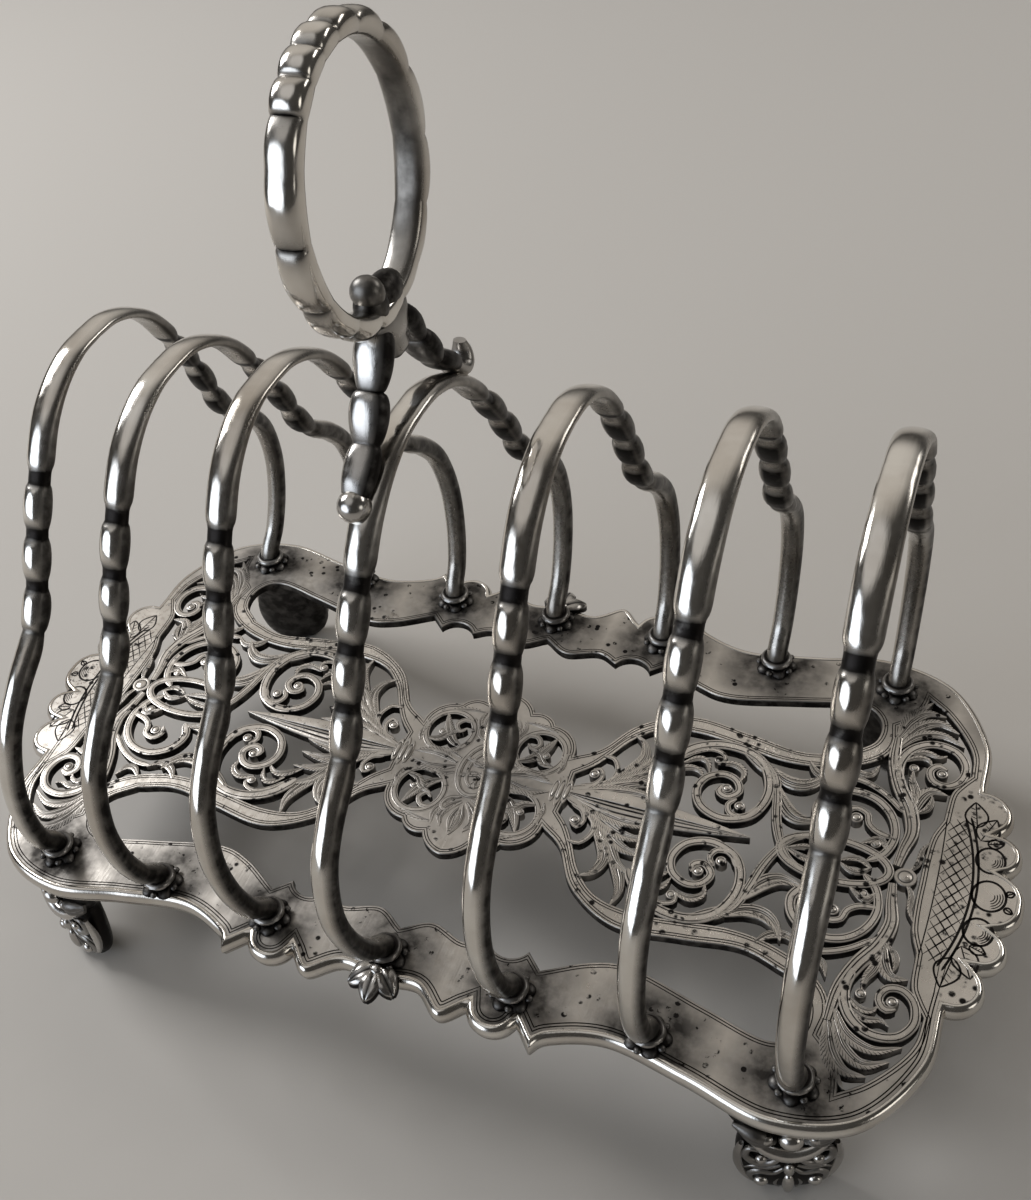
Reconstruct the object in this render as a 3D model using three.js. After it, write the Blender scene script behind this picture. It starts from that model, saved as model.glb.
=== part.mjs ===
// Seven-bar toast rack on a pierced plate with a ring handle and four cast feet.
// Millimetres, +Z up. The origin is on the table, midway between the feet.
// X runs along the row of bars and Y runs across it. The rack is soldered up solid.
import * as THREE from 'three';
import { mergeVertices } from 'three/addons/utils/BufferGeometryUtils.js';

// ---- Driving dimensions ----
const PITCH = 22;              // from one bar to the next; every outline below is in pitches
const BAR_COUNT = 7;
const MIDDLE_BAR = 4;          // the bar that carries the handle
const FOOT_HEIGHT = 20.8;      // table to the underside of the rim
const RIM_DEPTH = 1.8;         // moulding soldered under the edge of the plate
const PLATE_THICKNESS = 1.6;
const COLLAR_HEIGHT = 2.6;
const COLLAR_RADIUS = 3.1;
const GAP = 0.3;               // left between curved neighbours
// The bars are bent and set by hand: slope of each along X and along Y, then how far its legs
// bow along X and how far they pinch together half way up, in pitches.
const BAR_LEAN = [0.09, 0.04, -0.02, 0.01, 0, 0.02, 0];
const BAR_TILT = [0.06, 0, 0, -0.03, 0, 0, 0];
const BAR_BOW = [0.07, 0, 0, 0, 0, 0, 0];
const BAR_PINCH = [0.06, 0, 0, -0.15, 0, 0, 0];
const HANDLE_X = -0.5;              // the handle stands a little off the middle, mm
const RING_Y = -0.12;               // and the ring forward of it, in pitches
const RING_HEIGHT = 5.24;           // centre of the ring above the plate, in pitches
const RING_HALF_WIDTH = 0.7;        // centre line of the ring, in pitches
const RING_HALF_HEIGHT = 0.80;
const RING_HALF_BREADTH = 2.5;      // section of the ring along X, mm
const RING_HALF_DEPTH = 2.2;        // section of the ring in its own plane, mm
const RING_LOBES = 16;

const RIM_BOTTOM = FOOT_HEIGHT;
const PLATE_BOTTOM = RIM_BOTTOM + RIM_DEPTH;
const PLATE_TOP = PLATE_BOTTOM + PLATE_THICKNESS;

// ---- Materials ----
const silver = (color, roughness) => new THREE.MeshStandardMaterial({ color, roughness, metalness: 1 });
const sheetSilver = silver(0xb9b2a8, 0.32);
const polishedSilver = silver(0xc8c4bd, 0.18);
const castSilver = silver(0x8b8782, 0.42);

// ---- Pieces and how they are laid out ----
const rack = new THREE.Group();
function add(name, geometry, material) {
  const mesh = new THREE.Mesh(geometry, material);
  mesh.name = name;
  rack.add(mesh);
  return mesh;
}

// A capped cylinder laid along a curve in a plane of constant X (x may drift along it), with
// one ring of corners at each station. A station is [point, half breadth along X, half depth].
// The end rings stay level, so each end is a flat horizontal face, where `level` is true.
function layAlong(stations, sides, level) {
  const curve = new THREE.CatmullRomCurve3(stations.map(([point]) => point));
  const steps = stations.length - 1;
  const cylinder = new THREE.CylinderGeometry(1, 1, 1, sides, steps, false);
  cylinder.deleteAttribute('normal');
  cylinder.deleteAttribute('uv');
  const geometry = mergeVertices(cylinder, 1e-4);
  const position = geometry.attributes.position;
  const alongX = new THREE.Vector3(1, 0, 0);
  for (let i = 0; i < position.count; i += 1) {
    const place = Math.round((0.5 - position.getY(i)) * steps);
    const [point, breadth, depth] = stations[place];
    const tangent = curve.getTangent(place / steps);
    tangent.x = 0;
    tangent.normalize();
    if (level && (place === 0 || place === steps)) tangent.set(0, 0, Math.sign(tangent.z));
    const across = new THREE.Vector3().crossVectors(tangent, alongX);
    const corner = point
      .clone()
      .addScaledVector(alongX, position.getX(i) * breadth)
      .addScaledVector(across, position.getZ(i) * depth);
    position.setXYZ(i, corner.x, corner.y, corner.z);
  }
  return geometry;
}

// ---- Outlines of the plate, in pitches, one quarter each; runs meet at cusps ----
const OUTER_RUNS = [
  [[0, 2.03], [0.3, 1.98], [0.54, 2.14], [0.72, 2.0]],
  [[0.72, 2.0], [0.92, 2.14], [1.1, 2.0]],
  [[1.1, 2.0], [1.25, 2.16]],
  [
    [1.25, 2.16], [1.36, 2.04], [1.75, 1.93], [2.3, 2.02], [2.9, 2.14],
    [3.45, 1.96], [3.78, 1.45], [3.82, 0.97],
  ],
  [[3.82, 0.97], [4.03, 0.83], [3.96, 0.59]],
  [[3.96, 0.59], [4.14, 0.44], [4.04, 0.25]],
  [[4.04, 0.25], [4.16, 0.16], [4.2, 0]],
];
const RIM_INSIDE_RUN = [
  [[0, 1.86], [0.9, 1.9], [1.75, 1.82], [2.3, 1.9], [2.9, 2.02], [3.38, 1.84], [3.66, 1.4], [3.7, 0.92]],
  [[3.7, 0.92], [3.86, 0.55], [3.98, 0]],
];
const OPENING_RUNS = [
  [[0, 1.57], [0.22, 1.45], [0.5, 1.53], [0.68, 1.45]],
  [[0.68, 1.45], [0.83, 1.55], [0.99, 1.45]],
  [[0.99, 1.45], [1.12, 1.57]],
  [
    [1.12, 1.57], [1.45, 1.39], [1.75, 1.34], [2.3, 1.47], [2.75, 1.57],
    [2.94, 1.45], [2.94, 1.22], [2.75, 1.04],
  ],
  [[2.75, 1.04], [2.42, 0.95], [2.0, 1.01], [1.5, 1.06], [1.1, 0.85], [0.88, 0.52], [0.69, 0.38]],
  [[0.69, 0.38], [0.63, 0.54], [0.43, 0.64]],
  [[0.43, 0.64], [0.34, 0.72], [0.21, 0.72]],
  [[0.21, 0.72], [0.15, 0.8], [0, 0.87]],
];
// Larger saw-piercings of the panel: centre, half length, half width and turn of each oval.
const PIERCINGS = [
  { at: [0.42, 0.32], size: [0.13, 0.1], turn: 0.3 },
  { at: [1.08, 0.52], size: [0.12, 0.045], turn: 1.1 },
  { at: [1.35, 0.7], size: [0.15, 0.045], turn: 1.5 },
  { at: [1.66, 0.3], size: [0.12, 0.045], turn: 1.5 },
  { at: [1.88, 0.62], size: [0.13, 0.055], turn: 0.1 },
  { at: [2.14, 0.46], size: [0.17, 0.055], turn: 1.4 },
  { at: [2.33, 0.2], size: [0.15, 0.055], turn: 1.3 },
  { at: [2.56, 0.44], size: [0.15, 0.09], turn: 0.9 },
  { at: [2.76, 0.1], size: [0.15, 0.05], turn: -0.1 },
  { at: [3.06, 0.56], size: [0.14, 0.07], turn: 2.2 },
  { at: [3.42, 0.2], size: [0.11, 0.04], turn: 1.5 },
  { at: [3.5, 0.58], size: [0.16, 0.055], turn: 1.5 },
  { at: [3.38, 1.18], size: [0.1, 0.06], turn: 0.4 },
  { at: [3.3, 1.56], size: [0.15, 0.05], turn: 2.2 },
];

// The circular arc from start to end by way of crown.
function arcThrough(start, crown, end) {
  const [a, b, c] = [start, crown, end].map((spot) => spot.lengthSq());
  const twice = 2 * (start.x * (crown.y - end.y) + crown.x * (end.y - start.y) + end.x * (start.y - crown.y));
  const x = (a * (crown.y - end.y) + b * (end.y - start.y) + c * (start.y - crown.y)) / twice;
  const y = (a * (end.x - crown.x) + b * (start.x - end.x) + c * (crown.x - start.x)) / twice;
  const [first, last] = [start, end].map((spot) => Math.atan2(spot.y - y, spot.x - x));
  const radius = Math.hypot(start.x - x, start.y - y);
  const clockwise = (crown.x - start.x) * (end.y - start.y) - (crown.y - start.y) * (end.x - start.x) < 0;
  return new THREE.EllipseCurve(x, y, radius, radius, first, last, clockwise);
}

function samplesOf(runs, stepLength) {
  const points = [];
  for (const run of runs) {
    const spots = run.map(([x, y]) => new THREE.Vector2(x * PITCH, y * PITCH));
    const curve = run.length === 3 ? arcThrough(...spots) : new THREE.SplineCurve(spots);
    const divisions = run.length === 2 ? 1 : Math.max(4, Math.round(curve.getLength() / stepLength));
    points.push(...curve.getSpacedPoints(divisions).slice(0, -1));
  }
  const last = runs.at(-1).at(-1);
  points.push(new THREE.Vector2(last[0] * PITCH, last[1] * PITCH));
  return points;
}

// A closed outline from the quarter that runs from the Y axis to the X axis.
function aroundBothAxes(quarter) {
  const upper = [...quarter, ...quarter.slice(0, -1).reverse().map((p) => new THREE.Vector2(p.x, -p.y))];
  const left = upper.slice(1, -1).reverse().map((p) => new THREE.Vector2(-p.x, p.y));
  return [...upper, ...left].reverse();
}

// A closed outline from the half that starts and ends on the Y axis.
function acrossMiddle(half, side) {
  const right = half.map((p) => new THREE.Vector2(p.x, p.y * side));
  const left = half.slice(1, -1).reverse().map((p) => new THREE.Vector2(-p.x, p.y * side));
  return [...right, ...left];
}

function oval({ at, size, turn }, sideX, sideY, corners = 8) {
  const points = [];
  for (let i = 0; i < corners; i += 1) {
    const angle = (i / corners) * Math.PI * 2;
    const along = Math.cos(angle) * size[0];
    const across = Math.sin(angle) * size[1];
    const x = at[0] + along * Math.cos(turn) - across * Math.sin(turn);
    const y = at[1] + along * Math.sin(turn) + across * Math.cos(turn);
    points.push(new THREE.Vector2(x * PITCH * sideX, y * PITCH * sideY));
  }
  return points;
}

// ---- Base plate ----
const outerOutline = aroundBothAxes(samplesOf(OUTER_RUNS, 3.2));
const openingHalf = samplesOf(OPENING_RUNS, 3);
const sides = [-1, 1];

const plateShape = new THREE.Shape(outerOutline);
for (const side of sides) plateShape.holes.push(new THREE.Path(acrossMiddle(openingHalf, side)));
for (const piercing of PIERCINGS) {
  for (const sideX of sides) {
    for (const sideY of sides) plateShape.holes.push(new THREE.Path(oval(piercing, sideX, sideY)));
  }
}
const plateGeometry = new THREE.ExtrudeGeometry(plateShape, { depth: PLATE_THICKNESS, bevelEnabled: false });
add('base_plate', plateGeometry, sheetSilver).position.z = PLATE_BOTTOM;

// ---- Rim moulding under the edge ----
const rimShape = new THREE.Shape(outerOutline);
rimShape.holes.push(new THREE.Path(aroundBothAxes(samplesOf(RIM_INSIDE_RUN, 8))));
const rimGeometry = new THREE.ExtrudeGeometry(rimShape, { depth: RIM_DEPTH, bevelEnabled: false });
add('rim_moulding', rimGeometry, polishedSilver).position.z = RIM_BOTTOM;

// ---- Bars ----
// Half of the centre line, from the apex down to the foot: Y and height in pitches. The arch is
// a broad strap, then grooves and beads take turns, and the plain rod below swells outwards
// before it turns in to its collar.
const BAR_LINE = [
  [0, 3.7], [0.22, 3.68], [0.46, 3.58], [0.68, 3.4], [0.88, 3.12], [1.06, 2.82], [1.22, 2.5],
  [1.36, 2.2], [1.53, 1.98], [1.77, 1.77], [1.98, 1.48], [2.09, 1.05], [2.07, 0.62], [1.97, 0.26],
  [1.85, 0.08], [1.81, 0],
];
const TOP_GROOVE = 3.12;       // height of the first groove, in pitches
const BEAD_HEIGHT = 0.35;      // from one groove to the next
const BEAD_COUNT = 3;
// Half breadth along X and half depth, mm.
const STRAP_SIZE = [2.45, 1.15];
const GROOVE_SIZE = [1.7, 1.5];
const BEAD_SIZE = [2.2, 2.1];
const ROD_SIZE = [2, 1.8];
const STRAP_STEPS = 4;
const ROD_STEPS = 9;
const LINE_STEPS = 400;        // fineness of the search for a height on the line
const BAR_SIDES = 8;
const BAR_FOOT = PLATE_TOP + COLLAR_HEIGHT;
const APEX = BAR_LINE[0][1];
const FOOT_Y = BAR_LINE.at(-1)[0] * PITCH;

const barLine = new THREE.SplineCurve(BAR_LINE.map(([y, height]) => new THREE.Vector2(y, height)));
const finePoints = barLine.getSpacedPoints(LINE_STEPS);
const shareAt = (height) => finePoints.findIndex((spot) => spot.y <= height) / LINE_STEPS;

// Rows of [Y, height, half breadth, half depth] from the apex down to the foot.
function barProfile() {
  const rows = [];
  const place = (share, size) => {
    const spot = barLine.getPointAt(share);
    rows.push([spot.x, spot.y, ...size]);
  };
  const strapEnd = shareAt(TOP_GROOVE);
  for (let i = 0; i < STRAP_STEPS; i += 1) place((strapEnd * i) / STRAP_STEPS, STRAP_SIZE);
  for (let i = 0; i < BEAD_COUNT; i += 1) {
    place(shareAt(TOP_GROOVE - i * BEAD_HEIGHT), GROOVE_SIZE);
    place(shareAt(TOP_GROOVE - (i + 0.5) * BEAD_HEIGHT), BEAD_SIZE);
  }
  const rodStart = shareAt(TOP_GROOVE - BEAD_COUNT * BEAD_HEIGHT);
  place(rodStart, GROOVE_SIZE);
  for (let i = 1; i <= ROD_STEPS; i += 1) place(rodStart + ((1 - rodStart) * i) / ROD_STEPS, ROD_SIZE);
  return rows;
}

function barStation(index, side, [y, height, breadth, depth]) {
  const swing = Math.sin((Math.PI * height) / APEX);
  const x = index - MIDDLE_BAR + BAR_LEAN[index - 1] * height + BAR_BOW[index - 1] * swing;
  const across = side * (y - BAR_PINCH[index - 1] * swing) + BAR_TILT[index - 1] * height;
  const z = BAR_FOOT + height * (PITCH - COLLAR_HEIGHT / APEX);
  return [new THREE.Vector3(x * PITCH, across * PITCH, z), breadth, depth];
}

const profile = barProfile();
for (let index = 1; index <= BAR_COUNT; index += 1) {
  const front = profile.map((row) => barStation(index, -1, row)).reverse();
  const rear = profile.slice(1).map((row) => barStation(index, 1, row));
  add(`bar_${index}`, layAlong([...front, ...rear], BAR_SIDES, true), polishedSilver);
}

// ---- Collars round the bar feet ----
const COLLAR_PROFILE = [
  [0, 0], [COLLAR_RADIUS, 0], [COLLAR_RADIUS, 0.7], [2.3, 1.1], [2.7, 1.9], [2.2, COLLAR_HEIGHT],
  [0, COLLAR_HEIGHT],
];
for (let index = 1; index <= BAR_COUNT; index += 1) {
  for (const [name, side] of [['front', -1], ['rear', 1]]) {
    const outline = COLLAR_PROFILE.map(([radius, height]) => new THREE.Vector2(radius, height));
    const collar = new THREE.LatheGeometry(outline, 10);
    collar.rotateX(Math.PI / 2);
    const mesh = add(`collar_${name}_${index}`, collar, castSilver);
    mesh.position.set((index - MIDDLE_BAR) * PITCH, side * FOOT_Y, PLATE_TOP);
  }
}

// ---- Cast feet: broad under the rim, waisted, then a rounded shield with a flat pad ----
const FOOT_SPOT = [3.0 * PITCH, 1.9 * PITCH];
const FOOT_TURN = 0.36;        // radians that a foot turns towards its corner
// Share of the height, offset outwards, half breadth and half depth in mm, from the top down.
const FOOT_STATIONS = [
  [1, 0, 9.4, 3.2], [0.88, 0.6, 8.6, 3.4], [0.74, 0.2, 7.0, 2.8], [0.6, 0.6, 7.4, 2.9],
  [0.42, 1.2, 7.8, 3.0], [0.24, 1.5, 7.2, 3.1], [0.1, 1.5, 5.6, 2.9], [0, 1.3, 4.0, 2.2],
].map(([share, out, breadth, depth]) => [new THREE.Vector3(0, -out, share * FOOT_HEIGHT), breadth, depth]);
for (const [endName, sideX] of [['left', -1], ['right', 1]]) {
  for (const [sideName, sideY] of [['front', -1], ['rear', 1]]) {
    const mesh = add(`foot_${sideName}_${endName}`, layAlong(FOOT_STATIONS, 12, true), castSilver);
    mesh.position.set(sideX * FOOT_SPOT[0], sideY * FOOT_SPOT[1], 0);
    mesh.rotation.z = sideY < 0 ? sideX * FOOT_TURN : Math.PI - sideX * FOOT_TURN;
  }
}

// ---- Handle: lobed oval ring, its saddle and the two husk legs astride the middle bar ----
const handlePoint = (y, height) => (
  new THREE.Vector3(HANDLE_X, y * PITCH, PLATE_TOP + height * PITCH)
);
const UNIT_TUBE = 0.1;         // tube radius of the torus that the ring is shaped from
const ring = new THREE.TorusGeometry(1, UNIT_TUBE, 8, 48);
ring.deleteAttribute('normal');
ring.deleteAttribute('uv');
const ringGeometry = mergeVertices(ring, 1e-4);
const ringPosition = ringGeometry.attributes.position;
const ringCentre = handlePoint(RING_Y, RING_HEIGHT);
for (let i = 0; i < ringPosition.count; i += 1) {
  const x = ringPosition.getX(i);
  const y = ringPosition.getY(i);
  const angle = Math.atan2(y, x);
  const outward = (Math.hypot(x, y) - 1) / UNIT_TUBE;
  const sidewise = ringPosition.getZ(i) / UNIT_TUBE;
  const lobe = 0.72 + 0.28 * Math.abs(Math.sin((angle * RING_LOBES) / 2));
  const depth = outward > 0 ? RING_HALF_DEPTH * lobe : RING_HALF_DEPTH * 0.8;
  const reach = outward * depth;
  const ringX = sidewise * RING_HALF_BREADTH * (0.85 + 0.15 * lobe);
  const ringY = Math.cos(angle) * (RING_HALF_WIDTH * PITCH + reach);
  const ringZ = Math.sin(angle) * (RING_HALF_HEIGHT * PITCH + reach);
  ringPosition.setXYZ(i, ringCentre.x + ringX, ringCentre.y + ringY, ringCentre.z + ringZ);
}
const ringBottom = ringCentre.z - RING_HALF_HEIGHT * PITCH - RING_HALF_DEPTH;

const LEGS_Y = -0.08;          // middle between the two legs, in pitches
const SADDLE_HEIGHT = 4.4;
const SADDLE_LENGTH = 4.6;     // along X
const saddleTop = ringBottom - GAP;
const saddleShape = new THREE.Shape([
  new THREE.Vector2(-1.7, 0), new THREE.Vector2(1.7, 0), new THREE.Vector2(2.4, SADDLE_HEIGHT),
  new THREE.Vector2(-2.4, SADDLE_HEIGHT),
]);
const saddle = new THREE.ExtrudeGeometry(saddleShape, { depth: SADDLE_LENGTH, bevelEnabled: false });
saddle.translate(0, 0, -SADDLE_LENGTH / 2);
saddle.rotateX(Math.PI / 2);
saddle.rotateZ(Math.PI / 2);

add('ring_handle', ringGeometry, polishedSilver);
const saddleMesh = add('handle_saddle', saddle, castSilver);
saddleMesh.position.set(ringCentre.x, LEGS_Y * PITCH, saddleTop - SADDLE_HEIGHT);

// Y and height in pitches, then the half breadth along X and half depth in mm: two husks and
// the volute at the toe.
const LEG_STATIONS = [
  [0.19, 4.26, 2.2, 1.2], [0.24, 4.15, 2.7, 1.6], [0.31, 4.03, 2.0, 1.2], [0.39, 3.92, 2.7, 1.6],
  [0.46, 3.8, 2.0, 1.2], [0.55, 3.7, 2.2, 1.2], [0.65, 3.66, 2.6, 1.5], [0.75, 3.59, 2.4, 1.6],
  [0.82, 3.5, 1.5, 1.1],
];
for (const [name, side] of [['front', -1], ['rear', 1]]) {
  const stations = LEG_STATIONS.map(([y, height, breadth, depth]) => (
    [handlePoint(LEGS_Y + side * y, height), breadth, depth]
  ));
  add(`handle_leg_${name}`, layAlong(stations, 8, false), castSilver);
}

// ---- Palmette of three lobes on the rim at the middle of each long side ----
const PALMETTE_THICKNESS = 0.8;
const palmetteShape = new THREE.Shape();
palmetteShape.moveTo(-2.2, 0);
palmetteShape.quadraticCurveTo(-6.2, 1.6, -5.0, 3.4);
palmetteShape.quadraticCurveTo(-3.2, 4.0, -1.3, 1.8);
palmetteShape.quadraticCurveTo(-2.0, 4.4, 0, 4.8);
palmetteShape.quadraticCurveTo(2.0, 4.4, 1.3, 1.8);
palmetteShape.quadraticCurveTo(3.2, 4.0, 5.0, 3.4);
palmetteShape.quadraticCurveTo(6.2, 1.6, 2.2, 0);
for (const [name, side] of [['front', -1], ['rear', 1]]) {
  const leafForm = { depth: PALMETTE_THICKNESS, bevelEnabled: false, curveSegments: 4 };
  const leaf = new THREE.ExtrudeGeometry(palmetteShape, leafForm);
  const mesh = add(`palmette_${name}`, leaf, castSilver);
  mesh.rotation.z = side < 0 ? Math.PI : 0;
  mesh.position.set(0, side * (FOOT_Y + COLLAR_RADIUS + 0.2), PLATE_TOP);
}

export default rack;
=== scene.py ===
import math

import bmesh
import bpy
import numpy as np
from mathutils import Matrix, Vector
from mathutils.geometry import tessellate_polygon


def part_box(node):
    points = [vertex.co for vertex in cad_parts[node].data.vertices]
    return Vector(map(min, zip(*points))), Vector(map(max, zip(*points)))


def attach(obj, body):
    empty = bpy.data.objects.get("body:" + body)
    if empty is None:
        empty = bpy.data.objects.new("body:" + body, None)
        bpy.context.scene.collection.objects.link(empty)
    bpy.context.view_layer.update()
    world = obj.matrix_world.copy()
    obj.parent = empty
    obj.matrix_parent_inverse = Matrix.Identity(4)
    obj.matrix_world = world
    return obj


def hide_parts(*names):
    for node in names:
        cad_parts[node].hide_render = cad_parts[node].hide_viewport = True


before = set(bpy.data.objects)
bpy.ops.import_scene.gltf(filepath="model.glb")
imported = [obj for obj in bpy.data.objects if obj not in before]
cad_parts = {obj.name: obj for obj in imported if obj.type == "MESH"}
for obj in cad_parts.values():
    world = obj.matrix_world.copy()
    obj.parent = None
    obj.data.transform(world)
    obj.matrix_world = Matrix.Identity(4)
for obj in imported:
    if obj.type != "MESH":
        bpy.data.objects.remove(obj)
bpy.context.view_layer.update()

# ---- Driving dimensions, from the frame ----


def middle(node):
    low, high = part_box(node)
    return (low + high) / 2


MM = 0.001
PITCH = middle("collar_front_5").x - middle("collar_front_4").x
PLATE_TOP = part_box("base_plate")[1].z
PLATE_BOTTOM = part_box("base_plate")[0].z
COLLAR_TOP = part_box("collar_front_4")[1].z
BAR_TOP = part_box("bar_4")[1].z
FOOT_Y = middle("collar_rear_4").y / PITCH
BAR_COUNT = 7
MIDDLE_BAR = 4
SIDES = {"front": -1, "rear": 1}
ENDS = {"left": -1, "right": 1}
ALL_QUARTERS = [(1, 1), (1, -1), (-1, 1), (-1, -1)]
BOTH_ENDS = [(1, 1), (-1, 1)]

# ---- Curves ----


TINY = 1e-12


def unit(vectors):
    return vectors / np.maximum(np.linalg.norm(vectors, axis=-1, keepdims=True), TINY)


def full_turn(count):
    return np.linspace(0, 2 * math.pi, count, endpoint=False)


def distances(points):
    """How far along a polyline each of its points lies."""
    steps = np.linalg.norm(np.diff(points, axis=0), axis=1)
    return np.concatenate([[0], np.cumsum(steps)])


def directions(line, loop=False):
    """Unit vectors along a plan line and to its left, at each of its points."""
    if loop:
        along = unit(np.roll(line, -1, axis=0) - np.roll(line, 1, axis=0))
    else:
        along = unit(np.gradient(line, axis=0))
    return along, np.stack([-along[:, 1], along[:, 0]], axis=1)


def evenly(points, count):
    """count points of even spacing along a polyline."""
    reach = distances(points)
    places = np.linspace(0, reach[-1], count)
    return np.stack([np.interp(places, reach, points[:, k]) for k in range(points.shape[1])], axis=1)


# Points worked out between two knots of a smooth curve, before they are spaced evenly.
POINTS_PER_KNOT = 16


def smooth(points, step):
    """Points about step apart along a smooth curve through these points."""
    knots = np.asarray(points, float)
    if len(knots) > 2:
        guided = np.vstack([2 * knots[0] - knots[1], knots, 2 * knots[-1] - knots[-2]])
        t = np.linspace(0, 1, POINTS_PER_KNOT, endpoint=False)[:, None]
        parts = []
        for a, b, c, d in zip(guided, guided[1:], guided[2:], guided[3:]):
            cubic = (3 * b - a - 3 * c + d) * t**3 + (2 * a - 5 * b + 4 * c - d) * t**2
            parts.append(0.5 * (2 * b + (c - a) * t + cubic))
        knots = np.vstack(parts + [knots[-1:]])
    return evenly(knots, max(3, round(distances(knots)[-1] / step) + 1))


def ellipse(centre, size, angles):
    return np.stack([centre[0] + size[0] * np.cos(angles), centre[1] + size[1] * np.sin(angles)], axis=1)


def arc(start, crown, end, step):
    """Points along the circle through three points."""
    (ax, ay), (bx, by), (cx, cy) = start, crown, end
    twice = 2 * (ax * (by - cy) + bx * (cy - ay) + cx * (ay - by))
    a2, b2, c2 = ax * ax + ay * ay, bx * bx + by * by, cx * cx + cy * cy
    x = (a2 * (by - cy) + b2 * (cy - ay) + c2 * (ay - by)) / twice
    y = (a2 * (cx - bx) + b2 * (ax - cx) + c2 * (bx - ax)) / twice
    radius = math.hypot(ax - x, ay - y)
    first, between, last = (math.atan2(q - y, p - x) for p, q in (start, crown, end))
    sweep_to = (last - first) % (2 * math.pi)
    if (between - first) % (2 * math.pi) > sweep_to:
        sweep_to -= 2 * math.pi
    turns = first + np.linspace(0, sweep_to, max(4, round(abs(sweep_to) * radius / step)))
    return np.stack([x + radius * np.cos(turns), y + radius * np.sin(turns)], axis=1)


def joined(runs, step):
    """One polyline from runs that meet at corners. Runs of three points are arcs."""
    parts = [(arc(*run, step) if len(run) == 3 else smooth(run, step))[:-1] for run in runs]
    return np.vstack(parts + [[runs[-1][-1]]])


def around_both_axes(runs, step):
    """Closed outline, anticlockwise, from the quarter that runs from the Y axis to the X axis."""
    quarter = joined(runs, step)
    right = np.vstack([quarter, quarter[-2::-1] * (1, -1)])
    left = right[-2:0:-1] * (-1, 1)
    return np.vstack([right, left])[::-1]


def doubled(runs, step, mirror, copy):
    """Closed outline, clockwise, from the half that starts and ends on one axis and is mirrored
    across it. copy is (1, 1), or mirrors the whole loop to the other side of the other axis."""
    half = joined(runs, step)
    loop = np.vstack([half, half[-2:0:-1] * mirror]) * copy
    return loop if min(copy) > 0 else loop[::-1]


# At a sharp corner the mitre is no longer than this cosine allows, and a moved point is dropped
# when it comes nearer to the loop than this share of the distance.
LEAST_COSINE = 0.4
CLEAR_SHARE = 0.97


def inset(loop, distance):
    """A closed loop moved to its left. Points that would cross at a corner are gathered in."""
    along_in = unit(loop - np.roll(loop, 1, axis=0))
    along_out = unit(np.roll(loop, -1, axis=0) - loop)
    normal_in = np.stack([-along_in[:, 1], along_in[:, 0]], axis=1)
    normal_out = np.stack([-along_out[:, 1], along_out[:, 0]], axis=1)
    mitre = unit(normal_in + normal_out)
    cosine = np.maximum((mitre * normal_in).sum(axis=1), LEAST_COSINE)
    moved = loop + mitre * (distance / cosine)[:, None]
    start = loop[None, :, :]
    edge = np.roll(loop, -1, axis=0)[None] - start
    away = moved[:, None, :] - start
    share = np.clip((away * edge).sum(-1) / np.maximum((edge * edge).sum(-1), TINY), 0, 1)
    nearest = np.linalg.norm(away - edge * share[..., None], axis=-1).min(axis=1)
    good = np.flatnonzero(nearest > abs(distance) * CLEAR_SHARE)
    around = np.concatenate([good - len(loop), good, good + len(loop)])
    held = np.vstack([moved[good]] * 3)
    places = np.arange(len(loop))
    return np.stack([np.interp(places, around, held[:, k]) for k in (0, 1)], axis=1)


# ---- Closed solids gathered into pieces ----


class Form:
    """Closed solids of one piece, with a share of darkening kept at every corner: tarnish, and on the bars
    and husk legs painted shade as well.
    """

    def __init__(self):
        self.points = []
        self.tarnish_and_shade = []
        self.faces = []
        self.size = 0

    def add(self, points, faces, tarnish_and_shade):
        points = np.asarray(points, float).reshape(-1, 3)
        self.points.append(points)
        self.tarnish_and_shade.append(np.broadcast_to(np.asarray(tarnish_and_shade, float).ravel(), (len(points),)))
        self.faces.extend([tuple(corner + self.size for corner in face) for face in faces])
        self.size += len(points)

    def loft(self, rings, tarnish_and_shade, loop=False):
        """Skin through rings of corners, capped at both ends unless it closes on itself."""
        rings = np.asarray(rings, float)
        count, corners = rings.shape[:2]
        index = np.arange(count * corners).reshape(count, corners)
        following = np.roll(index, -1, axis=0)
        if not loop:
            index, following = index[:-1], following[:-1]
        beside, beside_next = np.roll(index, -1, axis=1), np.roll(following, -1, axis=1)
        faces = np.stack([index, beside, beside_next, following], axis=-1).reshape(-1, 4).tolist()
        if not loop:
            faces.append(list(range(corners))[::-1])
            faces.append([(count - 1) * corners + k for k in range(corners)])
        self.add(rings, faces, np.broadcast_to(tarnish_and_shade, (count, corners)))


def show(name, data):
    """A new object in the scene."""
    shown = bpy.data.objects.new(name, data)
    bpy.context.scene.collection.objects.link(shown)
    return shown


def piece(name, form, material, nodes, sharp=0.6):
    """One visible object from a form, with all faces turned outwards."""
    mesh = bpy.data.meshes.new(name)
    mesh.from_pydata(np.vstack(form.points).tolist(), [], form.faces)
    # Darkening per corner: tarnish, and painted shade on the bars and husk legs.
    layer = mesh.attributes.new("tarnish_and_shade", "FLOAT", "POINT")
    layer.data.foreach_set("value", np.concatenate(form.tarnish_and_shade).astype(np.float32))
    work = bmesh.new()
    work.from_mesh(mesh)
    bmesh.ops.recalc_face_normals(work, faces=work.faces)
    work.to_mesh(mesh)
    work.free()
    mesh.shade_smooth()
    mesh.set_sharp_from_angle(angle=sharp)
    mesh.materials.append(material)
    shown = show(name, mesh)
    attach(shown, "root")
    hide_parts(*nodes)

# ---- Shader nodes ----


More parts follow.
